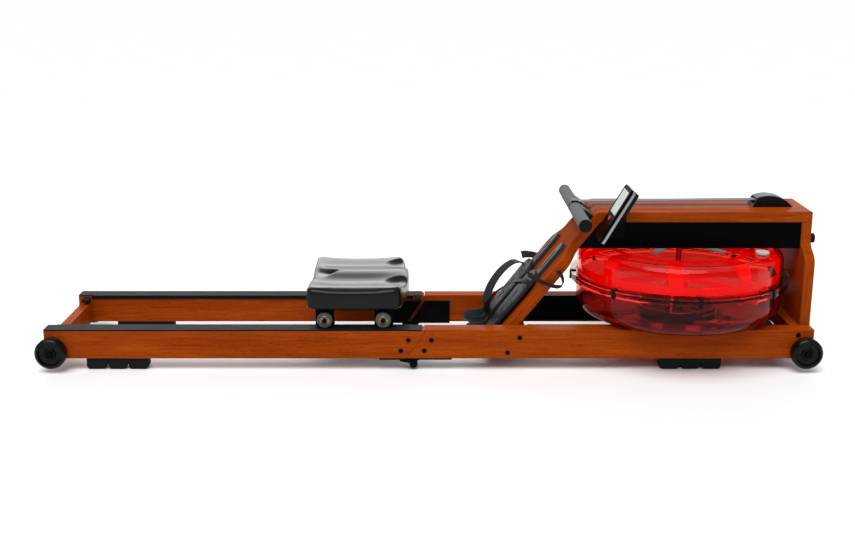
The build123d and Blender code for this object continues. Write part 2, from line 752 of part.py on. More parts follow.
COVER_HALF = 27
COVER_WALL = 2.5
COVER_START = (829, DECK_TOP)
COVER_LIP = (839, 409)
COVER_PEAK = (874, 415)
COVER_END = (932, DECK_TOP)
with BuildPart() as cover:
    with BuildSketch(Plane.XZ) as cover_side:
        with BuildLine():
            Line(COVER_START, COVER_LIP)
            ThreePointArc(COVER_LIP, COVER_PEAK, COVER_END)
            Line(COVER_END, COVER_START)
        make_face()
    extrude(amount=COVER_HALF, both=True)
    fillet(cover.faces().sort_by(Axis.Y)[0].edges().sort_by(Axis.Z)[-1], 4)
    fillet(cover.faces().sort_by(Axis.Y)[-1].edges().sort_by(Axis.Z)[-1], 4)
    with BuildSketch(Plane.XZ):
        add(cover_side.sketch)
        offset(amount=-COVER_WALL, mode=Mode.REPLACE)
    extrude(amount=COVER_HALF - COVER_WALL, both=True, mode=Mode.SUBTRACT)
    with BuildSketch(Plane.XY.offset(DECK_TOP)):
        with Locations(((SLOT[0] + SLOT[1]) / 2, 0)):
            Rectangle(SLOT[1] - SLOT[0], 2 * SLOT_HALF)
    extrude(amount=COVER_WALL + 2, mode=Mode.SUBTRACT)
    with BuildSketch(Plane.YZ.offset(820)):
        with Locations((0, 400.5)):
            Rectangle(2 * 18, 12)
    extrude(amount=26, mode=Mode.SUBTRACT)
save(cover.part, "pulley_cover")

# Webbing strap from the handle's clamp over the pulley and back to the drum
STRAP_START = (384.4, 396.2)
PULLEY_BACK = 60
strap_r = PULLEY_R + 0.4
outer_r = strap_r + STRAP_T
lean = radians(0.6)
leave = (PULLEY_X - PULLEY_BACK, PULLEY_Z - strap_r)
with BuildPart() as strap:
    with BuildSketch(Plane.XZ):
        with BuildLine():
            Line(STRAP_START, (PULLEY_X - strap_r * sin(lean), PULLEY_Z + strap_r * cos(lean)))
            ThreePointArc((PULLEY_X - strap_r * sin(lean), PULLEY_Z + strap_r * cos(lean)),
                          (PULLEY_X + strap_r, PULLEY_Z), (PULLEY_X, PULLEY_Z - strap_r))
            Polyline((PULLEY_X, PULLEY_Z - strap_r), leave, (leave[0], leave[1] - STRAP_T),
                     (PULLEY_X, PULLEY_Z - outer_r))
            ThreePointArc((PULLEY_X, PULLEY_Z - outer_r), (PULLEY_X + outer_r, PULLEY_Z),
                          (PULLEY_X - outer_r * sin(lean), PULLEY_Z + outer_r * cos(lean)))
            Polyline((PULLEY_X - outer_r * sin(lean), PULLEY_Z + outer_r * cos(lean)),
                     (STRAP_START[0], STRAP_START[1] + STRAP_T), STRAP_START)
        make_face()
    extrude(amount=STRAP_W / 2, both=True)
    drum_side = DRUM_R + 3
    run = (TANK_X + 6 - leave[0], drum_side, (DRUM_LOW + DRUM_TOP) / 2 - leave[1] + STRAP_T / 2)
    for step in range(4):
        part_way = step / 3
        twist = radians(90 * part_way)
        centre = (leave[0] + run[0] * part_way, run[1] * part_way,
                  leave[1] - STRAP_T / 2 + run[2] * part_way)
        with BuildSketch(Plane(centre, x_dir=(0, cos(twist), sin(twist)), z_dir=(-1, 0, 0))):
            Rectangle(STRAP_W, STRAP_T)
    loft(ruled=True)
save(strap.part, "drive_strap")

# ---------------------------------------------------------------- handle and its cradle

with BuildPart() as handle_bar:
    with BuildSketch(across(-HANDLE_HALF + 3)):
        with Locations((HANDLE_X, HANDLE_Z)):
            Circle(BAR_R)
    extrude(amount=-2 * (HANDLE_HALF - 3))
save(handle_bar.part, "handle_bar")

CLAMP_HALF = 15
CLAMP_BLOCK = (375, 395)
with BuildPart() as grips:
    with BuildSketch(across(-CLAMP_HALF - 0.3)):
        with Locations((HANDLE_X, HANDLE_Z)):
            Circle(GRIP_R)
            Circle(BAR_R + 0.05, mode=Mode.SUBTRACT)
    extrude(amount=HANDLE_HALF - CLAMP_HALF - 3.6)
    mirror(about=Plane.XZ)
save(grips.part, "handle_grips")

with BuildPart() as fittings:
    with BuildSketch(across(-HANDLE_HALF + 3)):
        with Locations((HANDLE_X, HANDLE_Z)):
            Circle(GRIP_R)
    extrude(amount=3)
    fillet(fittings.edges().sort_by(Axis.Y)[0], 2)
    mirror(about=Plane.XZ)
    with BuildSketch(across(-CLAMP_HALF)):
        with Locations((HANDLE_X, HANDLE_Z)):
            Circle(GRIP_R)
        with Locations(CLAMP_BLOCK):
            RectangleRounded(18, 12, 2)
        with Locations((HANDLE_X, HANDLE_Z)):
            Circle(BAR_R + 0.05, mode=Mode.SUBTRACT)
    extrude(amount=-2 * CLAMP_HALF)
save(fittings.part, "handle_fittings")

CRADLE_HALF = 88
CUP_R = GRIP_R + 0.8
cup = (-19.7, 32.85)


def cup_point(angle):
    return (cup[0] + CUP_R * cos(radians(angle)), cup[1] + CUP_R * sin(radians(angle)))


with BuildPart() as cradle:
    with BuildSketch(board_side(-CRADLE_HALF + 0.2)):
        with BuildLine():
            Polyline((cup_point(222)[0], cup_point(222)[1]), (cup_point(222)[0] - 2, cup_point(222)[1] - 2),
                     (-36, 3), (-42, 3), (-42, 0), (-1, 0), (-1, 24), cup_point(20))
            ThreePointArc(cup_point(20), cup_point(300), cup_point(222))
        make_face()
    extrude(amount=-2 * (CRADLE_HALF - 0.2))
    with BuildSketch(board_side(-19)):
        with Locations((-20, 28)):
            Rectangle(60, 50)
    extrude(amount=-38, mode=Mode.SUBTRACT)
    with BuildSketch(board_side(-19)):
        with Locations((-21.5, 1.5)):
            Rectangle(41, 3)
    extrude(amount=-38)
save(cradle.part, "handle_cradle")

with BuildPart() as bumpers:
    with BuildSketch(Plane.YZ.offset(DECK_END)):
        with Locations((-68, 315), (68, 315)):
            Circle(12.5)
    extrude(amount=14)
    fillet(bumpers.faces().sort_by(Axis.X)[-2:].edges(), 4)
save(bumpers.part, "storage_bumpers")

# ---------------------------------------------------------------- monitor

lean_x = cos(radians(MONITOR_LEAN))
lean_z = sin(radians(MONITOR_LEAN))


def face_plane(along, deep, y=-(MONITOR_IN + MONITOR_OUT) / 2):
    """Plane on the monitor's face: local x up its length, local y to +Y, normal towards the rower."""
    return Plane(origin=(MONITOR_LOW_X + along * lean_x + deep * lean_z, y,
                         MONITOR_LOW_Z + along * lean_z - deep * lean_x),
                 x_dir=(lean_x, 0, lean_z), z_dir=(-lean_z, 0, lean_x))


MONITOR_W = MONITOR_OUT - MONITOR_IN
BEZEL_T = 7
CASE_T = 17
SCREEN = (66, 68)
BUTTON_UP = 60
BUTTON_R = 6
with BuildPart() as bezel:
    with BuildSketch(face_plane(MONITOR_LONG / 2, BEZEL_T)):
        RectangleRounded(MONITOR_LONG, MONITOR_W, 9)
    extrude(amount=BEZEL_T)
    with BuildSketch(face_plane(MONITOR_LONG - 10 - SCREEN[0] / 2, 0)):
        RectangleRounded(SCREEN[0], SCREEN[1], 4)
    extrude(amount=-2, mode=Mode.SUBTRACT)
    with BuildSketch(face_plane(BUTTON_UP, 0)):
        Circle(BUTTON_R + 0.5)
    extrude(amount=-5, mode=Mode.SUBTRACT)
save(bezel.part, "monitor_bezel")

with BuildPart() as screen:
    with BuildSketch(face_plane(MONITOR_LONG - 10 - SCREEN[0] / 2, 2)):
        RectangleRounded(SCREEN[0] - 0.4, SCREEN[1] - 0.4, 3.8)
    extrude(amount=1.7)
save(screen.part, "monitor_screen")

with BuildPart() as button:
    with BuildSketch(face_plane(BUTTON_UP, 3)):
        Circle(BUTTON_R)
    extrude(amount=4)
save(button.part, "monitor_button")

LUG_R = 9
with BuildPart() as case:
    with BuildSketch(face_plane(MONITOR_LONG - 3 - 34, BEZEL_T)):
        RectangleRounded(68, MONITOR_W - 8, 6)
    extrude(amount=-CASE_T)
    case_back = (MONITOR_LOW_X + 88 * lean_x + (BEZEL_T + CASE_T - 2) * lean_z,
                 MONITOR_LOW_Z + 88 * lean_z - (BEZEL_T + CASE_T - 2) * lean_x)
    with BuildSketch(across(-104)):
        with Locations((TILT_X, TILT_Z)):
            Circle(LUG_R)
        with BuildLine():
            Polyline((TILT_X - 8, TILT_Z + 4), (TILT_X + 8, TILT_Z + 4),
                     (case_back[0] + 22, case_back[1] + 18), (case_back[0] + 2, case_back[1] + 12), close=True)
        make_face()
        with Locations((TILT_X, TILT_Z)):
            Circle(PIN_R + RUN_FIT, mode=Mode.SUBTRACT)
    extrude(amount=24)
save(case.part, "monitor_case")

with BuildPart() as bracket:
    with BuildSketch(across(-SIDE_OUT)):
        with Locations((TILT_X, DECK_LOW - 20)):
            RectangleRounded(30, 36, 5)
    extrude(amount=NARROW + 0.3 - SIDE_OUT)
    with BuildSketch(across(-NARROW - 0.3)):
        with Locations((TILT_X, TILT_Z - 22)):
            RectangleRounded(34, 60, 6)
    extrude(amount=4)
    with BuildSketch(across(-NARROW - 0.3)):
        with Locations((TILT_X, TILT_Z)):
            Circle(PIN_R + 4)
    extrude(amount=8)
    with BuildSketch(across(-NARROW - 0.3)):
        with Locations((TILT_X, TILT_Z)):
            Circle(PIN_R)
    extrude(amount=44)
save(bracket.part, "monitor_bracket")

# ---------------------------------------------------------------- footrests

with BuildPart() as foot_rails:
    with BuildSketch(board_plane()):
        for side in (-1, 1):
            with Locations((105 + 155, side * FOOT_Y)):
                SlotOverall(310, 2 * FOOT_RAIL_HALF)
            with Locations((116 + 26 + 20, side * FOOT_Y)):
                SlotOverall(60, 8, mode=Mode.SUBTRACT)
    extrude(amount=FOOT_RAIL_T)
save(foot_rails.part, "foot_rails")

PLATE_BASE = FOOT_RAIL_T + 0.3
PLATE_T = 9
HEEL_HIGH = 42
HEEL_T = 4
ARCH_AT = 290
ARCH_W = 34
ARCH_T = 3
ARCH_HIGH = 72


def footplate(side):
    """Plate under a shoe with a cup round the heel; side -1 is the right foot."""
    low = FOOT_TOP + FOOT_LONG
    y = side * -FOOT_Y
    with BuildPart() as piece:
        with BuildSketch(board_plane(out=PLATE_BASE)):
            with BuildLine():
                Polyline((FOOT_TOP + 40, y - FOOT_HALF_TOE), (low - 40, y - FOOT_HALF_HEEL))
                ThreePointArc((low - 40, y - FOOT_HALF_HEEL), (low, y), (low - 40, y + FOOT_HALF_HEEL))
                Line((low - 40, y + FOOT_HALF_HEEL), (FOOT_TOP + 40, y + FOOT_HALF_TOE))
                ThreePointArc((FOOT_TOP + 40, y + FOOT_HALF_TOE), (FOOT_TOP, y),
                              (FOOT_TOP + 40, y - FOOT_HALF_TOE))
            make_face()
        extrude(amount=PLATE_T)
        with BuildSketch(board_plane(out=PLATE_BASE + PLATE_T)):
            with BuildLine():
                ThreePointArc((low - 62, y - FOOT_HALF_HEEL), (low - 1, y), (low - 62, y + FOOT_HALF_HEEL))
                Line((low - 62, y + FOOT_HALF_HEEL), (low - 62, y + FOOT_HALF_HEEL - HEEL_T))
                ThreePointArc((low - 62, y + FOOT_HALF_HEEL - HEEL_T), (low - 1 - HEEL_T, y),
                              (low - 62, y - FOOT_HALF_HEEL + HEEL_T))
                Line((low - 62, y - FOOT_HALF_HEEL + HEEL_T), (low - 62, y - FOOT_HALF_HEEL))
            make_face()
        extrude(amount=HEEL_HIGH)
    return piece.part


def foot_strap(side):
    """Webbing that arches over the shoe, from one edge of the plate to the other."""
    y = side * FOOT_Y
    across_board = Plane(origin=board_point(ARCH_AT - ARCH_W / 2, PLATE_BASE + PLATE_T + 0.3),
                         x_dir=(0, 1, 0), z_dir=(-UP_X, 0, -UP_Z))
    base = across_board.location.position
    with BuildPart() as piece:
        with BuildSketch(Plane(origin=base + Vector(0, y, 0), x_dir=(0, 1, 0), z_dir=(UP_X, 0, UP_Z))):
            with BuildLine():
                half = FOOT_HALF_TOE - 2
                Polyline((-half, 0), (half, 0))
                ThreePointArc((half, 0), (0, ARCH_HIGH), (-half, 0))
            make_face()
            with BuildLine():
                Polyline((-half + ARCH_T, 0), (half - ARCH_T, 0))
                ThreePointArc((half - ARCH_T, 0), (0, ARCH_HIGH - ARCH_T), (-half + ARCH_T, 0))
            make_face(mode=Mode.SUBTRACT)
        extrude(amount=ARCH_W)
    return piece.part


for side, hand in ((-1, "right"), (1, "left")):
    save(footplate(side), f"footplate_{hand}")
    save(foot_strap(side), f"foot_strap_{hand}")

# ---------------------------------------------------------------- seat

with BuildPart() as pad:
    with BuildSketch(Plane.XY.offset(SEAT_LOW)):
        with BuildLine():
            Polyline((SEAT_FRONT, SEAT_HALF), (SEAT_REAR, SEAT_HALF), (SEAT_REAR, -SEAT_HALF),
                     (SEAT_FRONT, -SEAT_HALF))
            ThreePointArc((SEAT_FRONT, -SEAT_HALF), (SEAT_BULGE, 0), (SEAT_FRONT, SEAT_HALF))
        make_face()
    extrude(amount=SEAT_TOP - SEAT_LOW)
    fillet(pad.edges().filter_by(Axis.Z), 22)
    fillet(pad.faces().sort_by(Axis.Z)[-1].edges(), 10)
save(pad.part, "seat_pad")

SEAT_PLATE = 4
FRAME_BACK = -285
FRAME_FRONT = -90
WEB = 141
KEEPER = 126
STEEL = 3
KEEPER_LOW = 91
KEEPER_OUT = 133.7
STEP_Z = 108
BRACKET_HALF = 23
plate_low = SEAT_LOW - SEAT_PLATE
with BuildPart() as seat_frame:
    with BuildSketch(Plane.YZ.offset(FRAME_BACK)):
        with BuildLine():
            Polyline((0, SEAT_LOW), (-150, SEAT_LOW), (-150, plate_low), (-WEB - STEEL, plate_low),
                     (-WEB - STEEL, STEP_Z), (-KEEPER - STEEL, STEP_Z),
                     (-KEEPER - STEEL, KEEPER_LOW + STEEL), (-KEEPER_OUT, KEEPER_LOW + STEEL),
                     (-KEEPER_OUT, KEEPER_LOW), (-KEEPER, KEEPER_LOW), (-KEEPER, STEP_Z + STEEL),
                     (-WEB, STEP_Z + STEEL), (-WEB, plate_low), (0, plate_low), close=True)
        make_face()
    extrude(amount=FRAME_FRONT - FRAME_BACK)
    with BuildSketch(across(-WEB)):
        with Locations(*[(x, ROLLER_Z) for x in ROLLER_XS]):
            Circle(PIN_SEAT_R + BOLT_FIT)
    extrude(amount=STEEL, mode=Mode.SUBTRACT)
    with BuildSketch(Plane.XY.offset(KEEPER_LOW - 1)):
        with Locations((sum(ROLLER_XS) / 2, 0)):
            Rectangle(ROLLER_XS[1] - ROLLER_XS[0] - 2 * BRACKET_HALF, 2 * SEAT_HALF)
    extrude(amount=plate_low - 4 - KEEPER_LOW, mode=Mode.SUBTRACT)
    mirror(about=Plane.XZ)
save(seat_frame.part, "seat_frame")

with BuildPart() as seat_axles:
    with BuildSketch(across(-WEB + 6)):
        with Locations(*[(x, ROLLER_Z) for x in ROLLER_XS]):
            Circle(PIN_SEAT_R)
    extrude(amount=ROLLER_OUT + 0.5 - WEB + 6)
    with BuildSketch(across(-ROLLER_OUT - 0.5)):
        with Locations(*[(x, ROLLER_Z) for x in ROLLER_XS]):
            Circle(7)
    extrude(amount=2.3, taper=20)
    with BuildSketch(across(-WEB + 6)):
        with Locations(*[(x, ROLLER_Z) for x in ROLLER_XS]):
            RegularPolygon(7, 6)
    extrude(amount=5)
    mirror(about=Plane.XZ)
save(seat_axles.part, "seat_axles")


def roller_pair(x):
    """The two rollers that run side by side, one on each track."""
    with BuildPart() as piece:
        with BuildSketch(Plane((x, 0, ROLLER_Z))):
            with BuildLine():
                Polyline((PIN_SEAT_R + RUN_FIT, -ROLLER_IN), (ROLLER_R, -ROLLER_IN),
                         (ROLLER_R, -ROLLER_OUT), (PIN_SEAT_R + RUN_FIT, -ROLLER_OUT), close=True)
            make_face()
        revolve(axis=Axis((x, 0, ROLLER_Z), (0, 1, 0)))
        rims = piece.edges().filter_by(GeomType.CIRCLE).filter_by(lambda e: e.radius > ROLLER_R - 0.1)
        fillet(rims, 2)
        mirror(about=Plane.XZ)
    return piece.part


for x, place in zip(ROLLER_XS, ("rear", "front")):
    save(roller_pair(x), f"rollers_{place}")
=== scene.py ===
"""Looks of the folding water rower, built around its CAD frame.

Lengths in the pieces are in millimetres and become metres when a mesh is made.
+Z up, +X towards the tank, -Y is the rower's right hand.
"""
import math

import bmesh
import bpy
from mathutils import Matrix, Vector


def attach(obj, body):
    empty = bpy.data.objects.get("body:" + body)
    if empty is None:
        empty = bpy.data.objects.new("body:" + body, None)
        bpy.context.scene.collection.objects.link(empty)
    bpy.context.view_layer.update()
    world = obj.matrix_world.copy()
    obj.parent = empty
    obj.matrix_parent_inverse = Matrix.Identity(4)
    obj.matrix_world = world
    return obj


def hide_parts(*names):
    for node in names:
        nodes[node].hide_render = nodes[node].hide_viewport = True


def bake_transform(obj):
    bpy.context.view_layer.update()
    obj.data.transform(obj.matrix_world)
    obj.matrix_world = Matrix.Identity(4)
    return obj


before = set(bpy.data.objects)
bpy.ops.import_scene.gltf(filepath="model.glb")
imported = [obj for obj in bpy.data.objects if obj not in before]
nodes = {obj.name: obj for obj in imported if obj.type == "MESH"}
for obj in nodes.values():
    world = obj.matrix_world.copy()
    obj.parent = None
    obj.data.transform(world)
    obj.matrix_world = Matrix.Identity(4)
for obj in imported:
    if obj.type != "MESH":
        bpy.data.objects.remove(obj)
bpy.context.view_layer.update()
MM = 0.001

# Numbers shared with the CAD frame
SLOPE = math.radians(51.5)
UP_X, UP_Z = math.cos(SLOPE), math.sin(SLOPE)
MITRE = (414, 376)
TANK_X = 652
HANDLE = (376, 381)
FOOT_Y = 59
PULLEY = (872, 367)


# ---------------------------------------------------------------- materials

class Finish:
    """A node material: one Principled surface and the procedural detail that feeds it."""

    def __init__(self, name, **surface):
        self.material = bpy.data.materials.new(name)
        self.material.use_nodes = True
        self.tree = self.material.node_tree
        self.surface = self.tree.nodes["Principled BSDF"]
        for socket, value in surface.items():
            self.put(self.surface, socket.replace("_", " "), value)

    def put(self, node, socket, value):
        if isinstance(value, bpy.types.NodeSocket):
            self.tree.links.new(value, node.inputs[socket])
        elif isinstance(value, (tuple, list)) and len(value) == 3 and node.inputs[socket].type == "RGBA":
            node.inputs[socket].default_value = (*value, 1)
        else:
            node.inputs[socket].default_value = value

    def node(self, kind, settings=None, **inputs):
        made = self.tree.nodes.new(kind)
        for key, value in (settings or {}).items():
            setattr(made, key, value)
        for socket, value in inputs.items():
            self.put(made, socket.replace("_", " "), value)
        return made

    def place(self, scale=(1, 1, 1), turn=(0, 0, 0), source="Object"):
        """Coordinates on the piece, in metres, turned and scaled."""
        coordinates = self.node("ShaderNodeTexCoord")
        mapping = self.node("ShaderNodeMapping", {"vector_type": "TEXTURE"},
                            Vector=coordinates.outputs[source], Rotation=turn)
        scaled = self.node("ShaderNodeMapping", Vector=mapping.outputs[0], Scale=scale)
        return scaled.outputs[0]

    def noise(self, where, scale, detail=4, rough=0.55, distortion=0):
        made = self.node("ShaderNodeTexNoise", Vector=where, Scale=scale, Detail=detail,
                         Roughness=rough, Distortion=distortion)
        return made.outputs[0]

    def ramp(self, factor, *stops):
        made = self.node("ShaderNodeValToRGB", Fac=factor)
        band = made.color_ramp
        while len(band.elements) < len(stops):
            band.elements.new(0.5)
        for element, (at, tone) in zip(band.elements, stops):
            element.position = at
            element.color = (*tone, 1) if isinstance(tone, tuple) else (tone, tone, tone, 1)
        return made.outputs[0]

    def spread(self, factor, low, high):
        made = self.node("ShaderNodeMapRange", Value=factor, To_Min=low, To_Max=high)
        return made.outputs[0]

    def sums(self, kind, a, b):
        made = self.node("ShaderNodeMath", {"operation": kind})
        self.put(made, 0, a)
        self.put(made, 1, b)
        return made.outputs[0]

    def blend(self, kind, factor, a, b):
        made = self.node("ShaderNodeMix", {"data_type": "RGBA", "blend_type": kind})
        self.put(made, 0, factor)
        self.put(made, 6, a)
        self.put(made, 7, b)
        return made.outputs[2]

    def bump(self, height, strength, distance, under=None):
        made = self.node("ShaderNodeBump", Height=height, Strength=strength, Distance=distance)
        if under is not None:
            self.put(made, "Normal", under)
        return made.outputs[0]

    def set(self, **surface):
        for socket, value in surface.items():
            self.put(self.surface, socket.replace("_", " "), value)
        return self


def wood(name, turn=(0, 0, 0), shift=0.0):
    """Lacquered cherry: figure along local X, pores, and a clear coat over it."""
    made = Finish(name)
    along = made.place((0.8, 7.0, 7.0), turn)
    moved = made.node("ShaderNodeVectorMath", {"operation": "ADD"})
    made.put(moved, 0, along)
    made.put(moved, 1, (shift, shift * 0.7, shift * 1.3))
    figure = made.noise(moved.outputs[0], 2.0, 5, 0.6, 0.6)
    bands = made.node("ShaderNodeTexWave", {"wave_type": "BANDS", "bands_direction": "Z"},
                      Vector=moved.outputs[0], Scale=1.3, Distortion=8, Detail=3, Detail_Scale=1.1,
                      Detail_Roughness=0.6)
    fine = made.noise(made.place((9, 230, 230), turn), 1.0, 3, 0.6)
    pores = made.noise(made.place((70, 900, 900), turn), 1.0, 2, 0.5)
    base = made.ramp(figure, (0.22, (0.262, 0.038, 0.0022)), (0.5, (0.335, 0.053, 0.0032)),
                     (0.8, (0.415, 0.078, 0.0055)))
    stripe = made.ramp(bands.outputs[1], (0.15, (0.80, 0.72, 0.66)), (0.6, (1.0, 1.0, 1.0)))
    streak = made.ramp(fine, (0.34, (0.62, 0.52, 0.44)), (0.60, (1.0, 1.0, 1.0)))
    pore = made.ramp(pores, (0.34, (0.50, 0.40, 0.34)), (0.46, (1.0, 1.0, 1.0)))
    colour = made.blend("MULTIPLY", 0.40, base, stripe)
    colour = made.blend("MULTIPLY", 0.65, colour, streak)
    colour = made.blend("MULTIPLY", 0.60, colour, pore)
    wear = made.noise(made.place(), 14, 4)
    grain_bump = made.bump(fine, 0.10, 0.0006)
    return made.set(Base_Color=colour, Roughness=made.spread(wear, 0.34, 0.50), Specular_IOR_Level=0.0,
                    Coat_Weight=0.12, Coat_Roughness=made.spread(wear, 0.14, 0.28), Coat_IOR=1.28,
                    Normal=made.bump(pores, 0.12, 0.0004, grain_bump)).material


def moulded(name, colour, rough=(0.35, 0.5), grain=900.0, strength=0.12, metallic=0.0, coat=0.0,
            wear=0.12, specular=0.08):
    """Plastic, rubber or painted steel: fine moulded texture, and uneven tone and gloss."""
    made = Finish(name, Metallic=metallic, Specular_IOR_Level=specular, Coat_Weight=coat,
                  Coat_Roughness=0.12, Coat_IOR=1.35)
    where = made.place()
    patch = made.noise(where, 22, 5, 0.6)
    fine = made.noise(where, grain, 3, 0.6)
    scuffs = made.noise(made.place((40, 40, 320)), 1.0, 4, 0.7)
    dark = tuple(c * (1 - wear) for c in colour)
    light = tuple(min(1, c * (1 + wear) + 0.0008) for c in colour)
    tone = made.ramp(patch, (0.3, dark), (0.7, light))
    gloss = made.sums("ADD", made.spread(patch, rough[0], rough[1]),
                      made.spread(made.ramp(scuffs, (0.60, 0.0), (0.72, 1.0)), 0.0, 0.10))
    return made.set(Base_Color=tone, Roughness=gloss, Normal=made.bump(fine, strength, 0.0003)).material


def ridged(name, colour):
    """Moulded bar with fine cross ridges every four millimetres."""
    made = Finish(name, Specular_IOR_Level=0.16)
    sloped = made.place((1, 1, 1), (0, -SLOPE, 0))
    rows = made.node("ShaderNodeTexWave", {"bands_direction": "X"}, Vector=sloped, Scale=78.0,
                     Distortion=1.5, Detail=2, Detail_Scale=4.0)
    fine = made.noise(made.place(), 700, 3, 0.6)
    # tone is painted shade and highlight: darker in the troughs of the ridges and lighter on their crests,
    # following the same waves as the bump.
    tone = made.ramp(rows.outputs[1], (0.1, tuple(c * 0.55 for c in colour)),
                     (0.9, tuple(c * 1.25 for c in colour)))
    return made.set(Base_Color=tone, Roughness=made.spread(fine, 0.34, 0.52),
                    Normal=made.bump(rows.outputs[1], 0.6, 0.0008, made.bump(fine, 0.2, 0.0003))).material


def steel(name, colour=(0.62, 0.63, 0.65), rough=(0.16, 0.34), direction=(12, 12, 500)):
    """Bare metal with fine brushing."""
    made = Finish(name, Metallic=1.0)
    brushed = made.noise(made.place(direction), 1.0, 4, 0.7)
    patch = made.noise(made.place(), 30, 4)
    tone = made.ramp(patch, (0.3, tuple(c * 0.82 for c in colour)), (0.75, colour))
    return made.set(Base_Color=tone, Roughness=made.spread(brushed, rough[0], rough[1]),
                    Normal=made.bump(brushed, 0.08, 0.0002)).material


def webbing(name, colour, along=1100.0, across=520.0):
    """Woven strap: rows along and across from the strap's own lengths."""
    made = Finish(name, Specular_IOR_Level=0.2, Sheen_Weight=0.08, Sheen_Roughness=0.5)
    where = made.place(source="UV")
    rows = made.node("ShaderNodeTexWave", {"bands_direction": "X"}, Vector=where, Scale=along / 20,
                     Distortion=1.2, Detail=2, Detail_Scale=3.0)
    ribs = made.node("ShaderNodeTexWave", {"bands_direction": "Y"}, Vector=where, Scale=across / 20,
                     Distortion=0.6, Detail=2, Detail_Scale=3.0)
    weave = made.sums("MULTIPLY", rows.outputs[1], made.spread(ribs.outputs[1], 0.35, 1.0))
    fuzz = made.noise(made.place(), 240, 4)
    # tone paints shade between the threads: darker where the weave is low, following the same pattern as the
    # bump.
    tone = made.ramp(weave, (0.0, tuple(c * 0.45 for c in colour)), (0.75, colour))
    aged = made.ramp(fuzz, (0.3, 0.78), (0.7, 1.0))
    return made.set(Base_Color=made.blend("MULTIPLY", 1.0, tone, aged),
                    Roughness=made.spread(fuzz, 0.62, 0.85),
                    Normal=made.bump(weave, 0.55, 0.0007)).material


def foam(name, colour):
    """Closed-cell foam: small pits and a matt skin."""
    made = Finish(name, Specular_IOR_Level=0.35)
    where = made.place()
    cells = made.node("ShaderNodeTexVoronoi", {"feature": "F1"}, Vector=where, Scale=620.0)
    patch = made.noise(where, 55, 5, 0.65)
    tone = made.ramp(patch, (0.25, tuple(c * 0.72 for c in colour)), (0.75, tuple(c * 1.2 for c in colour)))
    return made.set(Base_Color=tone, Roughness=made.spread(patch, 0.60, 0.82),
                    Normal=made.bump(cells.outputs[0], 0.5, 0.0007,
                                     made.bump(patch, 0.12, 0.002))).material


def moulded_seat(name, colour):
    """Glossy black seat skin: leather-like grain under a soft sheen, uneven in tone and gloss."""
    made = Finish(name, Specular_IOR_Level=0.04, Coat_Weight=0.75, Coat_Roughness=0.22, Coat_IOR=1.28)
    where = made.place()
    cells = made.node("ShaderNodeTexVoronoi", {"feature": "DISTANCE_TO_EDGE"}, Vector=where, Scale=520.0)
    creases = made.ramp(cells.outputs[0], (0.0, 0.0), (0.16, 1.0))
    patch = made.noise(where, 16, 5, 0.6)
    tone = made.ramp(patch, (0.25, tuple(c * 0.75 for c in colour)), (0.8, tuple(c * 1.35 for c in colour)))
    return made.set(Base_Color=tone, Roughness=made.spread(patch, 0.26, 0.40),
                    Normal=made.bump(creases, 0.06, 0.0002, made.bump(patch, 0.04, 0.002))).material


def clear(name, colour, rough=(0.0, 0.05), weight=1.0, ior=1.22):
    """Clear or tinted plastic with faint flow marks and fingerprints."""
    made = Finish(name, Transmission_Weight=weight, IOR=ior, Specular_IOR_Level=0.25)
    where = made.place()
    patch = made.noise(where, 9, 5, 0.6)
    marks = made.noise(where, 70, 4, 0.7)
    tone = made.ramp(patch, (0.25, tuple(c * 0.93 for c in colour)), (0.75, colour))
    return made.set(Base_Color=tone, Roughness=made.spread(made.ramp(marks, (0.5, 0.0), (0.8, 1.0)), *rough),
                    Normal=made.bump(patch, 0.03, 0.002)).material


def tinted(name, colour, rough=(0.24, 0.40), weight=0.12):
    """Coloured plastic that lets some light through, with a painted glow: emission in its own colour makes it
    shine though it is no lamp.
    """
    # Emission_Color and Emission_Strength paint a glow into the red plastic of the tank insert and paddles.
    made = Finish(name, Transmission_Weight=weight, IOR=1.46, Specular_IOR_Level=0.15, Coat_Weight=0.06,
                  Coat_Roughness=0.2, Emission_Color=colour, Emission_Strength=0.38)
    where = made.place()
    patch = made.noise(where, 18, 4, 0.6)
    fine = made.noise(where, 420, 3)
    tone = made.ramp(patch, (0.25, tuple(c * 0.8 for c in colour)), (0.75, colour))
    return made.set(Base_Color=tone, Roughness=made.spread(patch, *rough),
                    Normal=made.bump(fine, 0.08, 0.0003)).material


def lcd(name):
    """Display glass over a pale segment field, with a faint painted glow from emission in the field's own
    tone.
    """
    made = Finish(name, Specular_IOR_Level=0.6, Coat_Weight=0.9, Coat_Roughness=0.04)
    where = made.place((1, 1, 1), (0, -math.radians(60), 0))
    dots = made.node("ShaderNodeTexBrick", {"offset": 0.0}, Vector=where, Scale=1.0, Mortar_Size=0.00025,
                     Brick_Width=0.0016, Row_Height=0.0016, Color1=(0.60, 0.72, 0.62),
                     Color2=(0.57, 0.70, 0.60),
                     Mortar=(0.50, 0.62, 0.53))
    patch = made.noise(where, 30, 3)
    tone = made.blend("MULTIPLY", 0.6, dots.outputs[0], made.ramp(patch, (0.3, 0.86), (0.7, 1.0)))
    # Emission_Strength 0.12 paints a faint glow onto the screen's tone.
    return made.set(Base_Color=tone, Roughness=made.spread(patch, 0.22, 0.32),
                    Emission_Color=tone, Emission_Strength=0.12).material


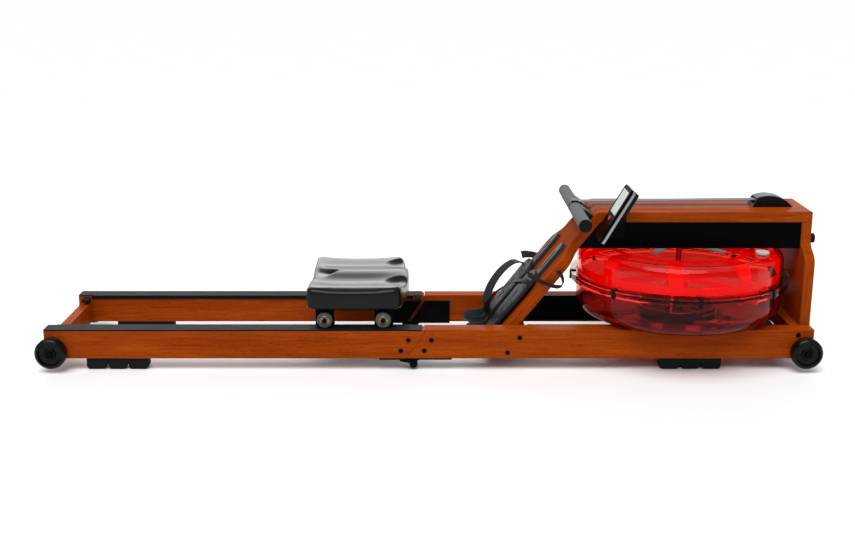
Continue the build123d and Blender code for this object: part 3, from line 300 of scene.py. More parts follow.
LOOKS = {
    "wood_along": wood("cherry_along"),
    "wood_rear": wood("cherry_rear", shift=3.7),
    "wood_slope": wood("cherry_slope", (0, -SLOPE, 0), 1.9),
    "wood_upright": wood("cherry_upright", (0, -math.pi / 2, 0), 5.1),
    "wood_cross": wood("cherry_cross", (0, 0, math.pi / 2), 7.3),
    "black_steel": moulded("black_steel", (0.0015, 0.0015, 0.002), (0.32, 0.46), 700, 0.10, specular=0.04),
    "bright_steel": steel("bright_steel"),
    "chrome": steel("chrome_band", (0.80, 0.81, 0.82), (0.05, 0.14), (300, 300, 4)),
    "track": moulded("track_black", (0.006, 0.008, 0.011), (0.42, 0.52), 1200, 0.08, specular=0.03),
    "rubber": moulded("rubber_black", (0.008, 0.009, 0.010), (0.50, 0.70), 1100, 0.35, specular=0.06),
    "wheel": moulded("wheel_black", (0.0008, 0.0008, 0.001), (0.20, 0.32), 800, 0.10, specular=0.16),
    "red_clear": clear("red_clear", (1.0, 0.15, 0.12), (0.0, 0.05)),
    # The lower shell's darker tint is partly its own smoky red and partly painted shade of the dark bowl
    # inside and behind it.
    "smoke_clear": clear("smoke_clear", (0.52, 0.10, 0.09), (0.0, 0.05)),
    "red_plastic": tinted("red_plastic", (0.90, 0.012, 0.007)),
    "black_plastic": moulded("black_plastic", (0.004, 0.004, 0.005), (0.28, 0.40), 900, 0.12, specular=0.08),
    "panel": moulded("panel_black", (0.0008, 0.0008, 0.001), (0.14, 0.22), 500, 0.03, specular=0.02),
    "white_plastic": moulded("white_plastic", (0.52, 0.50, 0.49), (0.30, 0.42), 900, 0.08, wear=0.05),
    "grey_plastic": moulded("grey_plastic", (0.16, 0.165, 0.17), (0.36, 0.50), 800, 0.16),
    "silver": steel("silver_frame", (0.34, 0.35, 0.37), (0.22, 0.34), (240, 240, 30)),
    "grey_webbing": webbing("webbing_grey", (0.30, 0.30, 0.31)),
    "black_webbing": webbing("webbing_black", (0.010, 0.010, 0.011)),
    "foam": foam("foam_grey", (0.078, 0.085, 0.095)),
    "seat": moulded_seat("seat_black", (0.004, 0.004, 0.0045)),
    "roller": moulded("roller_grey", (0.055, 0.085, 0.100), (0.34, 0.5), 900, 0.16),
    "brass": steel("brass_centre", (0.70, 0.36, 0.09), (0.22, 0.36), (60, 400, 60)),
    "screen": lcd("screen_green"),
    "button": moulded("button_red", (0.62, 0.018, 0.014), (0.22, 0.32), 900, 0.05, coat=0.4),
    "spring": steel("spring_steel", (0.32, 0.34, 0.38), (0.22, 0.36)),
    "footplate": moulded("footplate_dark", (0.024, 0.026, 0.029), (0.34, 0.5), 620, 0.25),
    "slotted": ridged("slotted_bar", (0.035, 0.040, 0.045)),
}


def dress(thing, look):
    thing.data.materials.clear()
    thing.data.materials.append(LOOKS[look])
    return thing


for look, names in {
    "wood_along": "front_rail_right front_rail_left top_board",
    "wood_rear": "rear_rail_right rear_rail_left",
    "wood_slope": "foot_board",
    "wood_upright": "front_panel",
    "wood_cross": "rear_cross_board board_cleats",
    "panel": "side_panels monitor_bezel",
    "black_steel": "hinge_plates_front hinge_plates_rear tank_bearers pulley_frame seat_frame "
                   "front_frame_bolts rear_frame_bolts front_axle monitor_bracket seat_axles",
    "track": "seat_tracks",
    "rubber": "seat_stops front_feet rear_feet storage_bumpers tank_gasket",
    "red_clear": "tank_upper_shell",
    "smoke_clear": "tank_lower_shell",
    "black_plastic": "tank_clips tank_base strap_drum top_pulley pulley_cover handle_cradle monitor_case",
    "red_plastic": "tank_insert rotor_paddles",
    "grey_plastic": "bearing_spider",
    "white_plastic": "tank_plug",
    "bright_steel": "rotor_shaft handle_bar",
    "spring": "recoil_spring",
    "screen": "monitor_screen",
    "button": "monitor_button",
    "slotted": "foot_rails",
}.items():
    for name in names.split():
        dress(nodes[name], look)


# ---------------------------------------------------------------- mesh tools

def mesh_piece(name, points, faces, look, body, replaced=(), uv=None, smooth=40):
    """A mesh from millimetre points that rides on a body."""
    data = bpy.data.meshes.new(name)
    data.from_pydata([tuple(c * MM for c in p) for p in points], [], faces)
    if uv is not None:
        layer = data.uv_layers.new(name="weave")
        for loop in data.loops:
            layer.data[loop.index].uv = uv[loop.vertex_index]
    tidy = bmesh.new()
    tidy.from_mesh(data)
    bmesh.ops.remove_doubles(tidy, verts=tidy.verts, dist=1e-7)
    bmesh.ops.recalc_face_normals(tidy, faces=tidy.faces)
    tidy.to_mesh(data)
    tidy.free()
    return settle(bpy.data.objects.new(name, data), look, body, replaced, smooth)


def settle(made, look, body, replaced=(), smooth=40):
    bpy.context.scene.collection.objects.link(made)
    made.data.shade_smooth()
    made.data.set_sharp_from_angle(angle=math.radians(smooth))
    dress(made, look)
    if replaced:
        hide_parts(*replaced)
    if body:
        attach(made, body)
    return made


def basis(direction):
    """Two unit vectors square to a direction."""
    d = Vector(direction).normalized()
    helper = Vector((0, 0, 1)) if abs(d.z) < 0.9 else Vector((1, 0, 0))
    first = helper.cross(d).normalized()
    return first, d.cross(first)


def lathe(name, profile, centre, axis, look, body, replaced=(), segments=96, shape=None,
          smooth=40):
    """Turns (radius, along) points round an axis. shape(angle, radius, along) may change the radius."""
    first, second = basis(axis)
    d, c = Vector(axis).normalized(), Vector(centre)
    points, faces = [], []
    count = len(profile)
    for turn in range(segments):
        angle = 2 * math.pi * turn / segments
        for radius, along in profile:
            r = shape(angle, radius, along) if shape else radius
            points.append(c + d * along + (first * math.cos(angle) + second * math.sin(angle)) * r)
    for turn in range(segments):
        after = (turn + 1) % segments
        for k in range(count):
            nxt = (k + 1) % count
            faces.append((turn * count + k, turn * count + nxt, after * count + nxt, after * count + k))
    return mesh_piece(name, points, faces, look, body, replaced, smooth=smooth)


def rounded(profile, radius, steps=5):
    """A closed outline with its corners rounded; a third number on a point is its own radius."""
    out = []
    count = len(profile)
    for k in range(count):
        here = Vector(profile[k][:2])
        before, after = Vector(profile[k - 1][:2]), Vector(profile[(k + 1) % count][:2])
        r = profile[k][2] if len(profile[k]) > 2 else radius
        to_b, to_a = before - here, after - here
        if r <= 0 or to_b.length < 1e-6 or to_a.length < 1e-6:
            out.append(tuple(here))
            continue
        half = to_b.angle(to_a) / 2
        reach = min(r / math.tan(half) if half > 1e-4 else 0, to_b.length * 0.48, to_a.length * 0.48)
        start, end = here + to_b.normalized() * reach, here + to_a.normalized() * reach
        for step in range(steps + 1):
            t = step / steps
            out.append(tuple(start * (1 - t) ** 2 + here * 2 * t * (1 - t) + end * t * t))
    return out


def prism(name, outline, origin, x_dir, y_dir, thickness, look, body, replaced=(), bevel=1.0,
          holes=(), smooth=35):
    """A flat outline, with holes, thickened along x_dir x y_dir, its rims bevelled."""
    x, y = Vector(x_dir).normalized(), Vector(y_dir).normalized()
    z = x.cross(y)
    o = Vector(origin)
    bm = bmesh.new()
    edges = []
    for loop in (outline, *holes):
        ring = [bm.verts.new((o + x * p[0] + y * p[1]) * MM) for p in loop]
        edges += [bm.edges.new((ring[k], ring[(k + 1) % len(ring)])) for k in range(len(ring))]
    bmesh.ops.triangle_fill(bm, use_beauty=True, use_dissolve=False, edges=edges)
    rims = [e for e in bm.edges if len(e.link_faces) == 1]
    raised = bmesh.ops.extrude_face_region(bm, geom=list(bm.faces) + list(bm.edges))
    moved = [v for v in raised["geom"] if isinstance(v, bmesh.types.BMVert)]
    bmesh.ops.translate(bm, verts=moved, vec=z * thickness * MM)
    bmesh.ops.recalc_face_normals(bm, faces=bm.faces)
    if bevel:
        caps = [f for f in bm.faces if abs(f.normal.dot(z)) > 0.99]
        cap_set = set(caps)
        rims = [e for e in bm.edges if len(e.link_faces) == 2
                and (e.link_faces[0] in cap_set) != (e.link_faces[1] in cap_set)]
        bmesh.ops.bevel(bm, geom=rims, offset=bevel * MM, segments=3, profile=0.5, affect="EDGES",
                        clamp_overlap=True)
    bmesh.ops.recalc_face_normals(bm, faces=bm.faces)
    data = bpy.data.meshes.new(name)
    bm.to_mesh(data)
    bm.free()
    return settle(bpy.data.objects.new(name, data), look, body, replaced, smooth)


def smooth_path(points, steps=8):
    """Catmull-Rom points through the given ones."""
    p = [Vector(q) for q in points]
    p = [p[0] * 2 - p[1], *p, p[-1] * 2 - p[-2]]
    out = []
    for k in range(1, len(p) - 2):
        for step in range(steps):
            t = step / steps
            a, b, c, d = p[k - 1], p[k], p[k + 1], p[k + 2]
            out.append(0.5 * ((2 * b) + (c - a) * t + (2 * a - 5 * b + 4 * c - d) * t * t
                              + (3 * b - a - 3 * c + d) * t ** 3))
    out.append(p[-2])
    return out


def ribbon(name, path, width_dirs, width, thickness, look, body=None, replaced=(), sag=0.0):
    """A strap with rounded edges along a path. width_dirs is one direction, or one per point."""
    path = [Vector(p) for p in path]
    many = isinstance(width_dirs, list)
    w, h = width / 2, thickness / 2
    section = [(-w, 0), (-w + h * 0.4, h * 0.75), (-w + h * 1.3, h), (-w * 0.5, h), (0, h + sag),
               (w * 0.5, h), (w - h * 1.3, h), (w - h * 0.4, h * 0.75), (w, 0),
               (w - h * 0.4, -h * 0.75), (w - h * 1.3, -h),
               (w * 0.5, -h), (0, -h + sag), (-w * 0.5, -h), (-w + h * 1.3, -h), (-w + h * 0.4, -h * 0.75)]
    count = len(section)
    points, faces, uv = [], [], []
    run = 0.0
    for k, here in enumerate(path):
        tangent = (path[min(k + 1, len(path) - 1)] - path[max(k - 1, 0)]).normalized()
        wide = Vector(width_dirs[k] if many else width_dirs)
        wide = (wide - tangent * wide.dot(tangent)).normalized()
        up = tangent.cross(wide)
        if k:
            run += (here - path[k - 1]).length
        for a, b in section:
            points.append(here + wide * a + up * b)
            uv.append((run * MM, a * MM))
    for k in range(len(path) - 1):
        for s in range(count):
            n = (s + 1) % count
            faces.append((k * count + s, k * count + n, (k + 1) * count + n, (k + 1) * count + s))
    faces.append(tuple(range(count)))
    faces.append(tuple((len(path) - 1) * count + s for s in range(count)))
    return mesh_piece(name, points, faces, look, body, replaced, uv=uv, smooth=50)


def board_at(down, out, y=0.0):
    """World point on the inclined board: down from its mitre, out from its face."""
    return Vector((MITRE[0] - down * UP_X - out * UP_Z, y, MITRE[1] - down * UP_Z + out * UP_X))


DOWN = Vector((-UP_X, 0, -UP_Z))
OUT = Vector((-UP_Z, 0, UP_X))


def ease(t):
    t = min(max(t, 0.0), 1.0)
    return t * t * (3 - 2 * t)


# ---------------------------------------------------------------- seat

def seat_outline():
    """Points round the seat's edge from its centre: small corners and a bulging front edge."""
    half_x, half_y, corner, out = 116.0, 170.0, 17.0, []
    for quarter in range(4):
        turn = quarter * math.pi / 2
        sx, sy = ((1, -1), (1, 1), (-1, 1), (-1, -1))[quarter]
        for step in range(18):
            a = -math.pi / 2 + turn + (math.pi / 2) * step / 18
            out.append((sx * (half_x - corner) + corner * math.cos(a),
                        sy * (half_y - corner) + corner * math.sin(a)))
        straight = 74 if quarter % 2 == 0 else 50
        a = turn
        here = (sx * (half_x - corner) + corner * math.cos(a), sy * (half_y - corner) + corner * math.sin(a))
        ex, ey = ((1, 1), (-1, 1), (-1, -1), (1, -1))[quarter]
        there = (ex * (half_x - corner) + corner * math.cos(a), ey * (half_y - corner) + corner * math.sin(a))
        for step in range(straight):
            t = step / straight
            out.append((here[0] + (there[0] - here[0]) * t, here[1] + (there[1] - here[1]) * t))
    return [(x + 21 * (1 - (y / half_y) ** 2) * max(0.0, x / half_x) ** 2, y) for x, y in out]


def seat_height(x, y):
    """Height of the seat's top: two hollows, a ridge, a tail notch and two thigh scoops."""
    u, v = x / 116.0, y / 170.0
    z = 210.5 - 5.0 * max(0.0, 1 - u * u) * min(1.0, abs(v)) ** 3
    for side in (-1, 1):
        z -= 7.5 * math.exp(-(((v - side * 0.47) / 0.29) ** 2) - (abs(u) / 1.02) ** 4)
    z += 3.0 * math.exp(-((v / 0.22) ** 2))
    reach = (u + 1.0) / 0.58
    if reach < 1.2:
        half = 0.30 * max(1 - reach, 0.0) ** 0.8 + 0.025
        z -= 15.0 * ease((1.10 - reach) / 0.30) * math.exp(-((abs(v) / half) ** 3.0))
    for side in (-1, 1):
        d2 = ((u - 1.08) / 0.44) ** 2 + ((v - side * 0.54) / 0.28) ** 2
        z -= 9.0 * ease((1.15 - d2) / 1.15)
    return z


def build_seat():
    edge = seat_outline()
    around, rings = len(edge), 84
    centre = (-189.0, 0.0)
    points, faces = [], []
    soft = 12.0
    for ring in range(1, rings + 1):
        s = 1 - (1 - ring / rings) ** 1.7
        for ox, oy in edge:
            x, y = ox * s, oy * s
            inset = (1 - s) * min(max(abs(ox), 60.0), max(abs(oy), 60.0)) * 1.15
            roll = max(0.0, 1 - inset / soft)
            z = seat_height(x, y) - soft * (1 - math.sqrt(max(0.0, 1 - roll * roll)))
            points.append((centre[0] + x, centre[1] + y, z))
    top = len(points)
    walls = [(0.25, 0.03), (0.6, 0.12), (0.9, 0.30), (0.9, 0.50), (0.6, 0.72), (0.2, 0.86), (-0.5, 0.92),
             (-1.8, 0.965), (-4.0, 0.99), (-7.0, 1.0)]
    for swell, fall in walls:
        for k, (ox, oy) in enumerate(edge):
            length = math.hypot(ox, oy)
            high = points[top - around + k][2]
            grow = 1 + swell / length
            points.append((centre[0] + ox * grow, centre[1] + oy * grow, high + (155.2 - high) * fall))
    levels = rings + len(walls)
    for ring in range(levels - 1):
        for k in range(around):
            n = (k + 1) % around
            here, below = ring * around, (ring + 1) * around
            faces.append((here + k, here + n, below + n, below + k))
    points.append((centre[0], centre[1], seat_height(0, 0)))
    points.append((centre[0], centre[1], 155.2))
    last = (levels - 1) * around
    for k in range(around):
        n = (k + 1) % around
        faces.append((len(points) - 2, n, k))
        faces.append((len(points) - 1, last + k, last + n))
    return mesh_piece("seat_cushion", points, faces, "seat", "seat", ["seat_pad"], smooth=75)


build_seat()


def roller(name, x, side, body, replaced):
    """Tyre, brass centre and bearing face on one seat axle."""
    z = 124.8
    y_in, y_out = side * 147, side * 167
    wide = abs(y_out - y_in)
    axis = (0, side, 0)
    centre = (x, y_in, z)
    tyre = rounded([(12.2, 0.4), (17.8, 0.4, 2.4), (19.5, 2.6, 1.6), (19.5, wide - 2.6, 1.6),
                    (17.8, wide - 0.4, 2.4), (14.4, wide - 0.4, 0.8), (13.6, wide - 2.2, 0.6),
                    (12.2, wide - 2.2)],
                   0.5)
    lathe(name, tyre, centre, axis, "roller", body, replaced, 72)
    hub = rounded([(7.6, 1.2), (12.4, 1.2, 0.6), (12.4, wide - 2.4, 0.8), (10.4, wide - 1.4, 0.6),
                   (8.4, wide - 3.2, 0.6), (7.6, wide - 3.2)], 0.4)
    lathe(name + "_centre", hub, centre, axis, "brass", body, (), 64)
    race = rounded([(4.3, 2.0), (7.8, 2.0), (7.8, wide - 3.6, 0.4), (6.6, wide - 3.0, 0.4),
                    (5.4, wide - 4.4, 0.4), (4.3, wide - 4.4)], 0.3)
    lathe(name + "_bearing", race, centre, axis, "bright_steel", body, (), 48)


for body, x in (("rollers_rear", -261), ("rollers_front", -114)):
    for side, hand in ((-1, "right"), (1, "left")):
        roller(f"{body}_tyre_{hand}", x, side, body, [body])


# ---------------------------------------------------------------- wheels

def wheel(name, x, side, body):
    """Moulded wheel: rounded tread with two grooves, a dished face with ribs and a hub boss."""
    wide = 30.0
    axis = (0, side, 0)
    centre = (x, side * 180, 49)
    tread = [(31.0, 0.4), (35.0, 0.4, 3), (39.0, 5.5, 5), (39.0, 11.8, 0.4), (38.4, 12.2, 0.2),
             (38.4, 12.8, 0.2), (39.0, 13.2, 0.4), (39.0, 16.8, 0.4), (38.4, 17.2, 0.2),
             (38.4, 17.8, 0.2), (39.0, 18.2, 0.4),
             (39.0, 23.5, 6), (34.0, wide - 0.2, 4), (29.6, wide - 0.8, 1.5), (28.4, wide - 4.0, 1),
             (27.0, wide - 6.0), (26.0, 4.0)]
    lathe(name + "_tyre", rounded(tread, 0.6), centre, axis, "wheel", body, [name], 128)
    disc = [(6.1, 1.0), (27.4, 1.0), (27.4, wide - 6.2, 0.6), (24.5, wide - 7.0, 1.5),
            (16.0, wide - 7.2, 2.0), (14.0, wide - 3.0, 1.4), (6.1, wide - 2.4, 0.6)]
    lathe(name + "_disc", rounded(disc, 0.5), centre, axis, "wheel", body, (), 96)
    first, second = basis(axis)
    for spoke in range(6):
        angle = math.radians(60 * spoke + 12)
        out = first * math.cos(angle) + second * math.sin(angle)
        over = out.cross(Vector(axis))
        base = Vector(centre) + Vector(axis) * (wide - 8.0)
        prism(f"{name}_rib_{spoke}", [(14.0, -1.1), (27.0, -0.9), (27.0, 0.9), (14.0, 1.1)],
              base, out, -over, 2.2, "wheel", body, (), bevel=0.4)


for x, end in ((943, "front"), (-943, "rear")):
    for side, hand in ((-1, "right"), (1, "left")):
        wheel(f"{end}_wheel_{hand}", x, side, f"{end}_wheel_{hand}")


# ---------------------------------------------------------------- handle, cradle and strap

def grip(name, side):
    """Foam sleeve, a little full in the middle, with a moulded parting line and rounded ends."""
    length = 209.4
    profile = [(11.2, 0.0), (14.6, 0.0, 1.4), (16.0, 2.6, 1.2)]
    for step in range(1, 24):
        t = step / 24
        full = 15.75 + 0.35 * math.sin(math.pi * t) + 0.10 * math.sin(9 * math.pi * t)
        profile.append((full, 2.6 + t * 204.2, 0))
    profile += [(16.0, length - 2.6, 1.2), (14.6, length, 1.4), (11.2, length)]

    def seam(angle, radius, along):
        nick = 0.35 * math.exp(-((math.sin(angle / 2)) / 0.02) ** 2)
        return radius - (nick if radius > 13 else 0)

    made = lathe(name, rounded(profile, 0), (HANDLE[0], side * 15.3, HANDLE[1]), (0, side, 0), "foam",
                 "handle", ["handle_grips"], 128, shape=seam, smooth=50)
    return made


for side, hand in ((-1, "right"), (1, "left")):
    grip(f"grip_{hand}", side)
    cap = [(0.0, 0.2), (15.6, 0.2, 0.8), (16.2, 1.4, 0.9), (15.0, 3.0, 0.9), (9.0, 3.4, 0.6), (8.4, 2.6, 0.4),
           (0.01, 2.6)]
    lathe(f"handle_cap_{hand}", rounded(cap, 0.2), (HANDLE[0], side * 224.8, HANDLE[1]), (0, side, 0),
          "black_plastic", "handle", ["handle_fittings"], 72)

clamp = [(11.05, -15.0), (14.6, -15.0, 1.2), (16.2, -13.6, 1.0), (16.2, -3.2, 0.6), (15.4, -2.4, 0.4),
         (15.4, 2.4, 0.4), (16.2, 3.2, 0.6), (16.2, 13.6, 1.0), (14.6, 15.0, 1.2), (11.05, 15.0)]
lathe("handle_clamp", rounded(clamp, 0.3), (HANDLE[0], 0, HANDLE[1]), (0, 1, 0), "black_plastic", "handle",
      ["handle_fittings"], 96)
block = rounded([(366, 393.5), (384, 390), (384, 400.6), (366, 400.6)], 2.2, 5)
prism("handle_clamp_block", block, (0, 15, 0), (1, 0, 0), (0, 0, 1), 30, "black_plastic", "handle", (),
      1.0)


def strap_points():
    """Centreline and width direction of the drive strap, from the handle's clamp to its drum."""
    points, wide = [], []
    r = 35.4
    lean = math.radians(0.6)
    start = Vector((384.5, 0, 397.2))
    top = Vector((PULLEY[0] - r * math.sin(lean), 0, PULLEY[1] + r * math.cos(lean)))
    for step in range(221):
        points.append(start.lerp(top, step / 220))
        wide.append(Vector((0, 1, 0)))
    for step in range(1, 41):
        angle = math.pi / 2 + lean - (math.pi + lean) * step / 40
        points.append(Vector((PULLEY[0] + r * math.cos(angle), 0, PULLEY[1] + r * math.sin(angle))))
        wide.append(Vector((0, 1, 0)))
    bottom = points[-1]
    leave = Vector((812, 0, bottom.z))
    for step in range(1, 13):
        points.append(bottom.lerp(leave, step / 12))
        wide.append(Vector((0, 1, 0)))
    end = Vector((658, 48, 326))
    for step in range(1, 41):
        t = step / 40
        twist = math.pi / 2 * t
        points.append(leave.lerp(end, t))
        wide.append(Vector((0, math.cos(twist), math.sin(twist))))
    return points, wide


path, wide = strap_points()
split = 206
near_split = path[split] + (path[split - 1] - path[split]).normalized() * 0.2
ribbon("drive_webbing_inner", path[split:], wide[split:], 28, 2, "grey_webbing", "front_frame",
       ["drive_strap"])
strap = ribbon("drive_webbing", [*path[:split], near_split], wide[:split + 1], 28, 2, "grey_webbing", None,
               ["drive_strap"])
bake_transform(strap)


# ---------------------------------------------------------------- footrests

def slot_loop(low, high, half, steps=12):
    """A long hole with round ends, from low to high down the board."""
    loop = []
    for start, centre in ((math.pi / 2, low + half), (-math.pi / 2, high - half)):
        for step in range(steps + 1):
            angle = start + math.pi * step / steps
            loop.append((centre + half * math.cos(angle), half * math.sin(angle)))
    return loop


def slotted_bar(name, side):
    """Bar that the footplate slides on: rounded ends and an adjusting slot."""
    outline = slot_loop(105, 415, 17.0, 24)
    prism(name, outline, board_at(0, 0.05, side * FOOT_Y), DOWN, Vector((0, -1, 0)), 9.95, "slotted",
          "front_frame", ["foot_rails"], 1.6, [slot_loop(132, 192, 4.0)])


def foot_half(t):
    """Half width of the footplate at a share of its length, toe to heel."""
    toe, heel = 46.0, 38.0
    wide = toe + (heel - toe) * ease((t - 0.15) / 0.6)
    if t < 0.16:
        wide *= math.sqrt(max(0.0, 1 - ((0.16 - t) / 0.16) ** 2.2))
    if t > 0.84:
        wide *= math.sqrt(max(0.0, 1 - ((t - 0.84) / 0.16) ** 2.2))
    return wide


def footplate(hand, side):
    """Moulded plate with tread ribs and a hoop round the heel."""
    body = f"footplate_{hand}"
    y = side * FOOT_Y
    top, long = 205.0, 240.0
    outline = []
    steps = 56
    for step in range(steps + 1):
        t = 0.5 - 0.5 * math.cos(math.pi * step / steps)
        outline.append((top + t * long, foot_half(t)))
    for step in range(steps - 1, 0, -1):
        t = 0.5 - 0.5 * math.cos(math.pi * step / steps)
        outline.append((top + t * long, -foot_half(t)))
    holes = [slot_loop(top + 66, top + 92, 3.4), slot_loop(top + 112, top + 138, 3.4)]
    prism(f"{body}_plate", outline, board_at(0, 10.3, y), DOWN, Vector((0, -1, 0)), 8.0, "footplate", body,
                 [body], 2.2, holes)
    for row in range(9):
        down = top + 30 + row * 9.5 + (40 if row > 2 else 0) + (38 if row > 5 else 0)
        half = foot_half((down - top) / long) - 7
        low, high = down - 1.6, down + 1.6
        rib = rounded([(low, -half), (high, -half), (high, half), (low, half)], 1.4, 3)
        prism(f"{body}_rib_{row}", rib, board_at(0, 18.0, y), DOWN, Vector((0, -1, 0)), 1.8, "footplate",
              body, (), 0.6)
    heel_hoop(body, y, top, long)


def heel_hoop(body, y, top, long):
    """Wall round the heel, high at the back and falling to the plate at its ends."""
    points, faces = [], []
    around, up = 72, 14
    for k in range(around + 1):
        a = -1 + 2 * k / around
        angle = a * math.pi / 2
        r_y = 38.0 - 0.2
        down = top + long - 62 + 61 * max(0.0, math.cos(angle)) ** 0.75
        across = r_y * math.sin(angle) if abs(a) < 1 else r_y * math.copysign(1, a)
        edge = ease((1 - abs(a)) / 0.55)
        high = 8.0 + 34.0 * edge
        normal = Vector((math.cos(angle), math.sin(angle))).normalized()
        for level in range(up + 1):
            t = level / up
            lean = 3.0 * t * t
            round_off = 1.9 * math.sqrt(max(0.0, 1 - ((t - 0.5) / 0.5) ** 6))
            for face in (1, -1):
                d = down + normal.x * (round_off * face + lean * 0.4) - 2.0 * normal.x
                w = across + normal.y * (round_off * face + lean * 0.4) - 2.0 * normal.y
                points.append(board_at(d, 17.5 + t * high, y + w))
    column = 2 * (up + 1)
    for k in range(around):
        for level in range(up):
            for face in (0, 1):
                a = k * column + level * 2 + face
                faces.append((a, a + 2, a + column + 2, a + column))
        for level in (0, up):
            a = k * column + level * 2
            faces.append((a, a + 1, a + column + 1, a + column))
    for k in (0, around):
        for level in range(up):
            a = k * column + level * 2
            faces.append((a, a + 1, a + 3, a + 2))
    mesh_piece(f"{body}_heel", points, faces, "footplate", body, (), smooth=45)


def foot_strap(hand, side):
    """Webbing over the shoe from the outer slot to the heel's inner side, with its tail and buckle."""
    body = f"footplate_{hand}"
    y = side * FOOT_Y
    arch = []
    for step in range(61):
        t = step / 60
        rise = 40.0 * math.sin(math.pi * t) ** 0.7
        arch.append(board_at(234 + 140 * ease(t) ** 0.9, 19.0 + rise, y + side * 43 * math.cos(math.pi * t)))
    lie = DOWN * 0.30 + OUT * 0.40 + Vector((0, side, 0)) * 0.86
    ribbon(f"{body}_webbing", arch, lie, 32, 2.2, "black_webbing", body, [f"foot_strap_{hand}"],
           0.25)
    route = [(251, 100, 229), (262, 118, 226), (276, 136, 221), (292, 146, 216), (312, 149, 210),
             (327, 149, 209), (334, 148, 216), (334, 147, 228), (329, 146, 240), (322, 145, 249)]
    tail = smooth_path([(x, side * across, z) for x, across, z in route], 10)
    ribbon(f"{body}_tail", tail, Vector((0.1, side * 0.75, 0.65)), 20, 1.8, "black_webbing", body, (),
           0.2)
    frame_out = rounded([(-17, -9), (17, -9), (17, 9), (-17, 9)], 4, 5)
    frame_in = [rounded([(-12.5, -5), (12.5, -5), (12.5, -1.2), (-12.5, -1.2)], 1, 3),
                rounded([(-12.5, 1.2), (12.5, 1.2), (12.5, 5), (-12.5, 5)], 1, 3)]
    tilt = Vector((0, -side * 0.35, 0)) + OUT * 0.55 + DOWN * 0.5
    prism(f"{body}_buckle", frame_out, board_at(243, 38, y + side * 40), lie, tilt, 3.0, "black_plastic",
          body, (), 0.8, frame_in)


for side, hand in ((-1, "right"), (1, "left")):
    slotted_bar(f"slotted_bar_{hand}", side)
    footplate(hand, side)
    foot_strap(hand, side)


# ---------------------------------------------------------------- rubber feet


def foot_pad(name, x, y, body, replaced):
    """Rubber block under a rail: a flat back and three soft lobes that stand on the floor."""
    outline = [(0, 29, 1), (0, 0, 10), (47, 0, 9), (49, 15, 1.5), (54, 15, 1.5), (56, 0, 9), (98, 0, 9),
               (100, 15, 1.5), (105, 15, 1.5), (107, 0, 9), (154, 0, 10), (154, 29, 1)]
    prism(name, rounded(outline, 1, 6), (x, y, 0), (1, 0, 0), (0, 0, 1), 33, "rubber", body, replaced,
          1.8)


for x, body, node in ((582, "front_frame", "front_feet"), (-861.5, "rear_frame", "rear_feet")):
    for y, hand in ((-140, "right"), (173, "left")):
        foot_pad(f"{node}_pad_{hand}", x, y, body, [node])


# ---------------------------------------------------------------- tank details

band = [(99.0, 109.6), (101.6, 109.6, 0.8), (101.6, 124.4, 0.8), (100.2, 125.4, 0.6), (99.0, 125.0)]
lathe("base_band", rounded(band, 0.4), (TANK_X, 0, 0), (0, 0, 1), "chrome", "front_frame", (),
      144)
post = [(0.01, 109.3), (9.0, 109.3, 1), (9.0, 112.0, 1), (5.0, 114.5, 1), (4.2, 118, 1), (4.2, 138, 1),
        (6.4, 141, 1.5), (7.4, 146, 2.5), (6.0, 152, 2.5), (0.01, 154)]
lathe("tank_post", rounded(post, 0.5), (731, -150, 0), (0, 0, 1), "bright_steel", "front_frame", (),
      48)

# ---------------------------------------------------------------- monitor

LEAN = math.radians(60)
FACE_UP = Vector((math.cos(LEAN), 0, math.sin(LEAN)))
FACE_OUT = Vector((-math.sin(LEAN), 0, math.cos(LEAN)))


def on_face(along, deep, y=-143.0):
    return Vector((415, y, 331)) + FACE_UP * along - FACE_OUT * deep


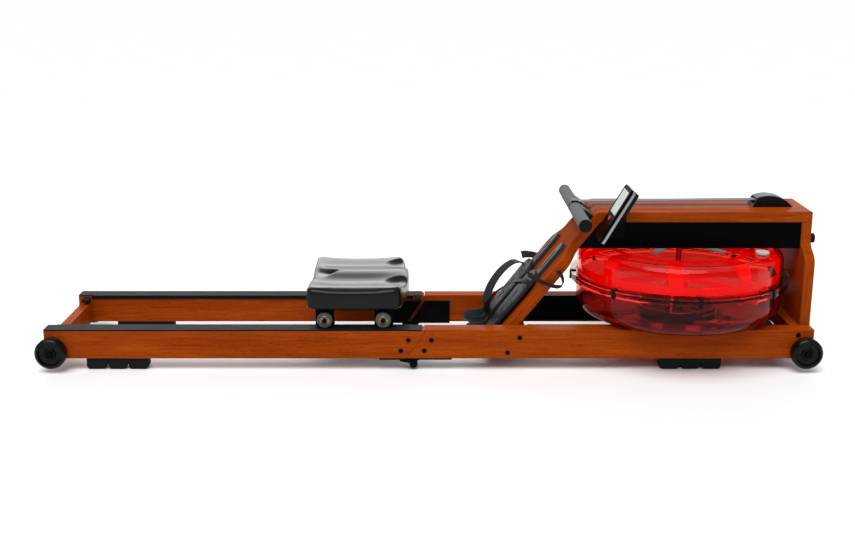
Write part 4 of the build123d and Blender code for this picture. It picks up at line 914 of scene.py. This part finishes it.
outer = rounded([(-0.4, -45.4), (150.4, -45.4), (150.4, 45.4), (-0.4, 45.4)], 9.5, 8)
inner = rounded([(2.6, -42.4), (147.4, -42.4), (147.4, 42.4), (2.6, 42.4)], 7.5, 8)
prism("monitor_rim", outer, on_face(0, 6.6), FACE_UP, Vector((0, 1, 0)), -7.2, "silver", "monitor", (),
      0.8, [inner])

# ---------------------------------------------------------------- floor, light and camera


def build_stage():
    made = Finish("floor_pale", Roughness=0.55)
    patch = made.noise(made.place(), 3.0, 4)
    made.set(Base_Color=made.ramp(patch, (0.3, 0.90), (0.7, 0.93)))
    data = bpy.data.meshes.new("floor")
    bm = bmesh.new()
    bmesh.ops.create_grid(bm, x_segments=8, y_segments=8, size=30)
    bm.to_mesh(data)
    bm.free()
    floor = bpy.data.objects.new("floor", data)
    bpy.context.scene.collection.objects.link(floor)
    floor.location.z = -0.0005
    data.materials.append(made.material)


def area_light(name, at, target, size, energy):
    data = bpy.data.lights.new(name, "AREA")
    data.shape = "RECTANGLE"
    data.size, data.size_y = size
    data.energy = energy
    lamp = bpy.data.objects.new(name, data)
    bpy.context.scene.collection.objects.link(lamp)
    lamp.location = at
    lamp.rotation_euler = (Vector(target) - Vector(at)).to_track_quat("-Z", "Y").to_euler()


build_stage()
world = bpy.data.worlds.new("studio")
world.use_nodes = True
world.node_tree.nodes["Background"].inputs[0].default_value = (1, 1, 1, 1)
world.node_tree.nodes["Background"].inputs[1].default_value = 0.42
bpy.context.scene.world = world
bpy.context.scene.view_settings.view_transform = "Standard"
sun = bpy.data.lights.new("sky_panel", "SUN")
sun.energy = 2.7
sun.angle = math.radians(50)
sun_lamp = bpy.data.objects.new("sky_panel", sun)
bpy.context.scene.collection.objects.link(sun_lamp)
sun_lamp.rotation_euler = (math.radians(22), math.radians(-8), 0)
area_light("back_panel", (0, 4.6, 2.0), (0, 0, 0.3), (7.0, 1.9), 125)

camera = bpy.data.cameras.new("camera")
camera.lens = 50
camera.sensor_width = 36
eye = bpy.data.objects.new("camera", camera)
bpy.context.scene.collection.objects.link(eye)
eye.location = (-0.003, -3.005, 1.008)
eye.rotation_euler = (math.radians(74.93), 0, 0)
bpy.context.scene.camera = eye
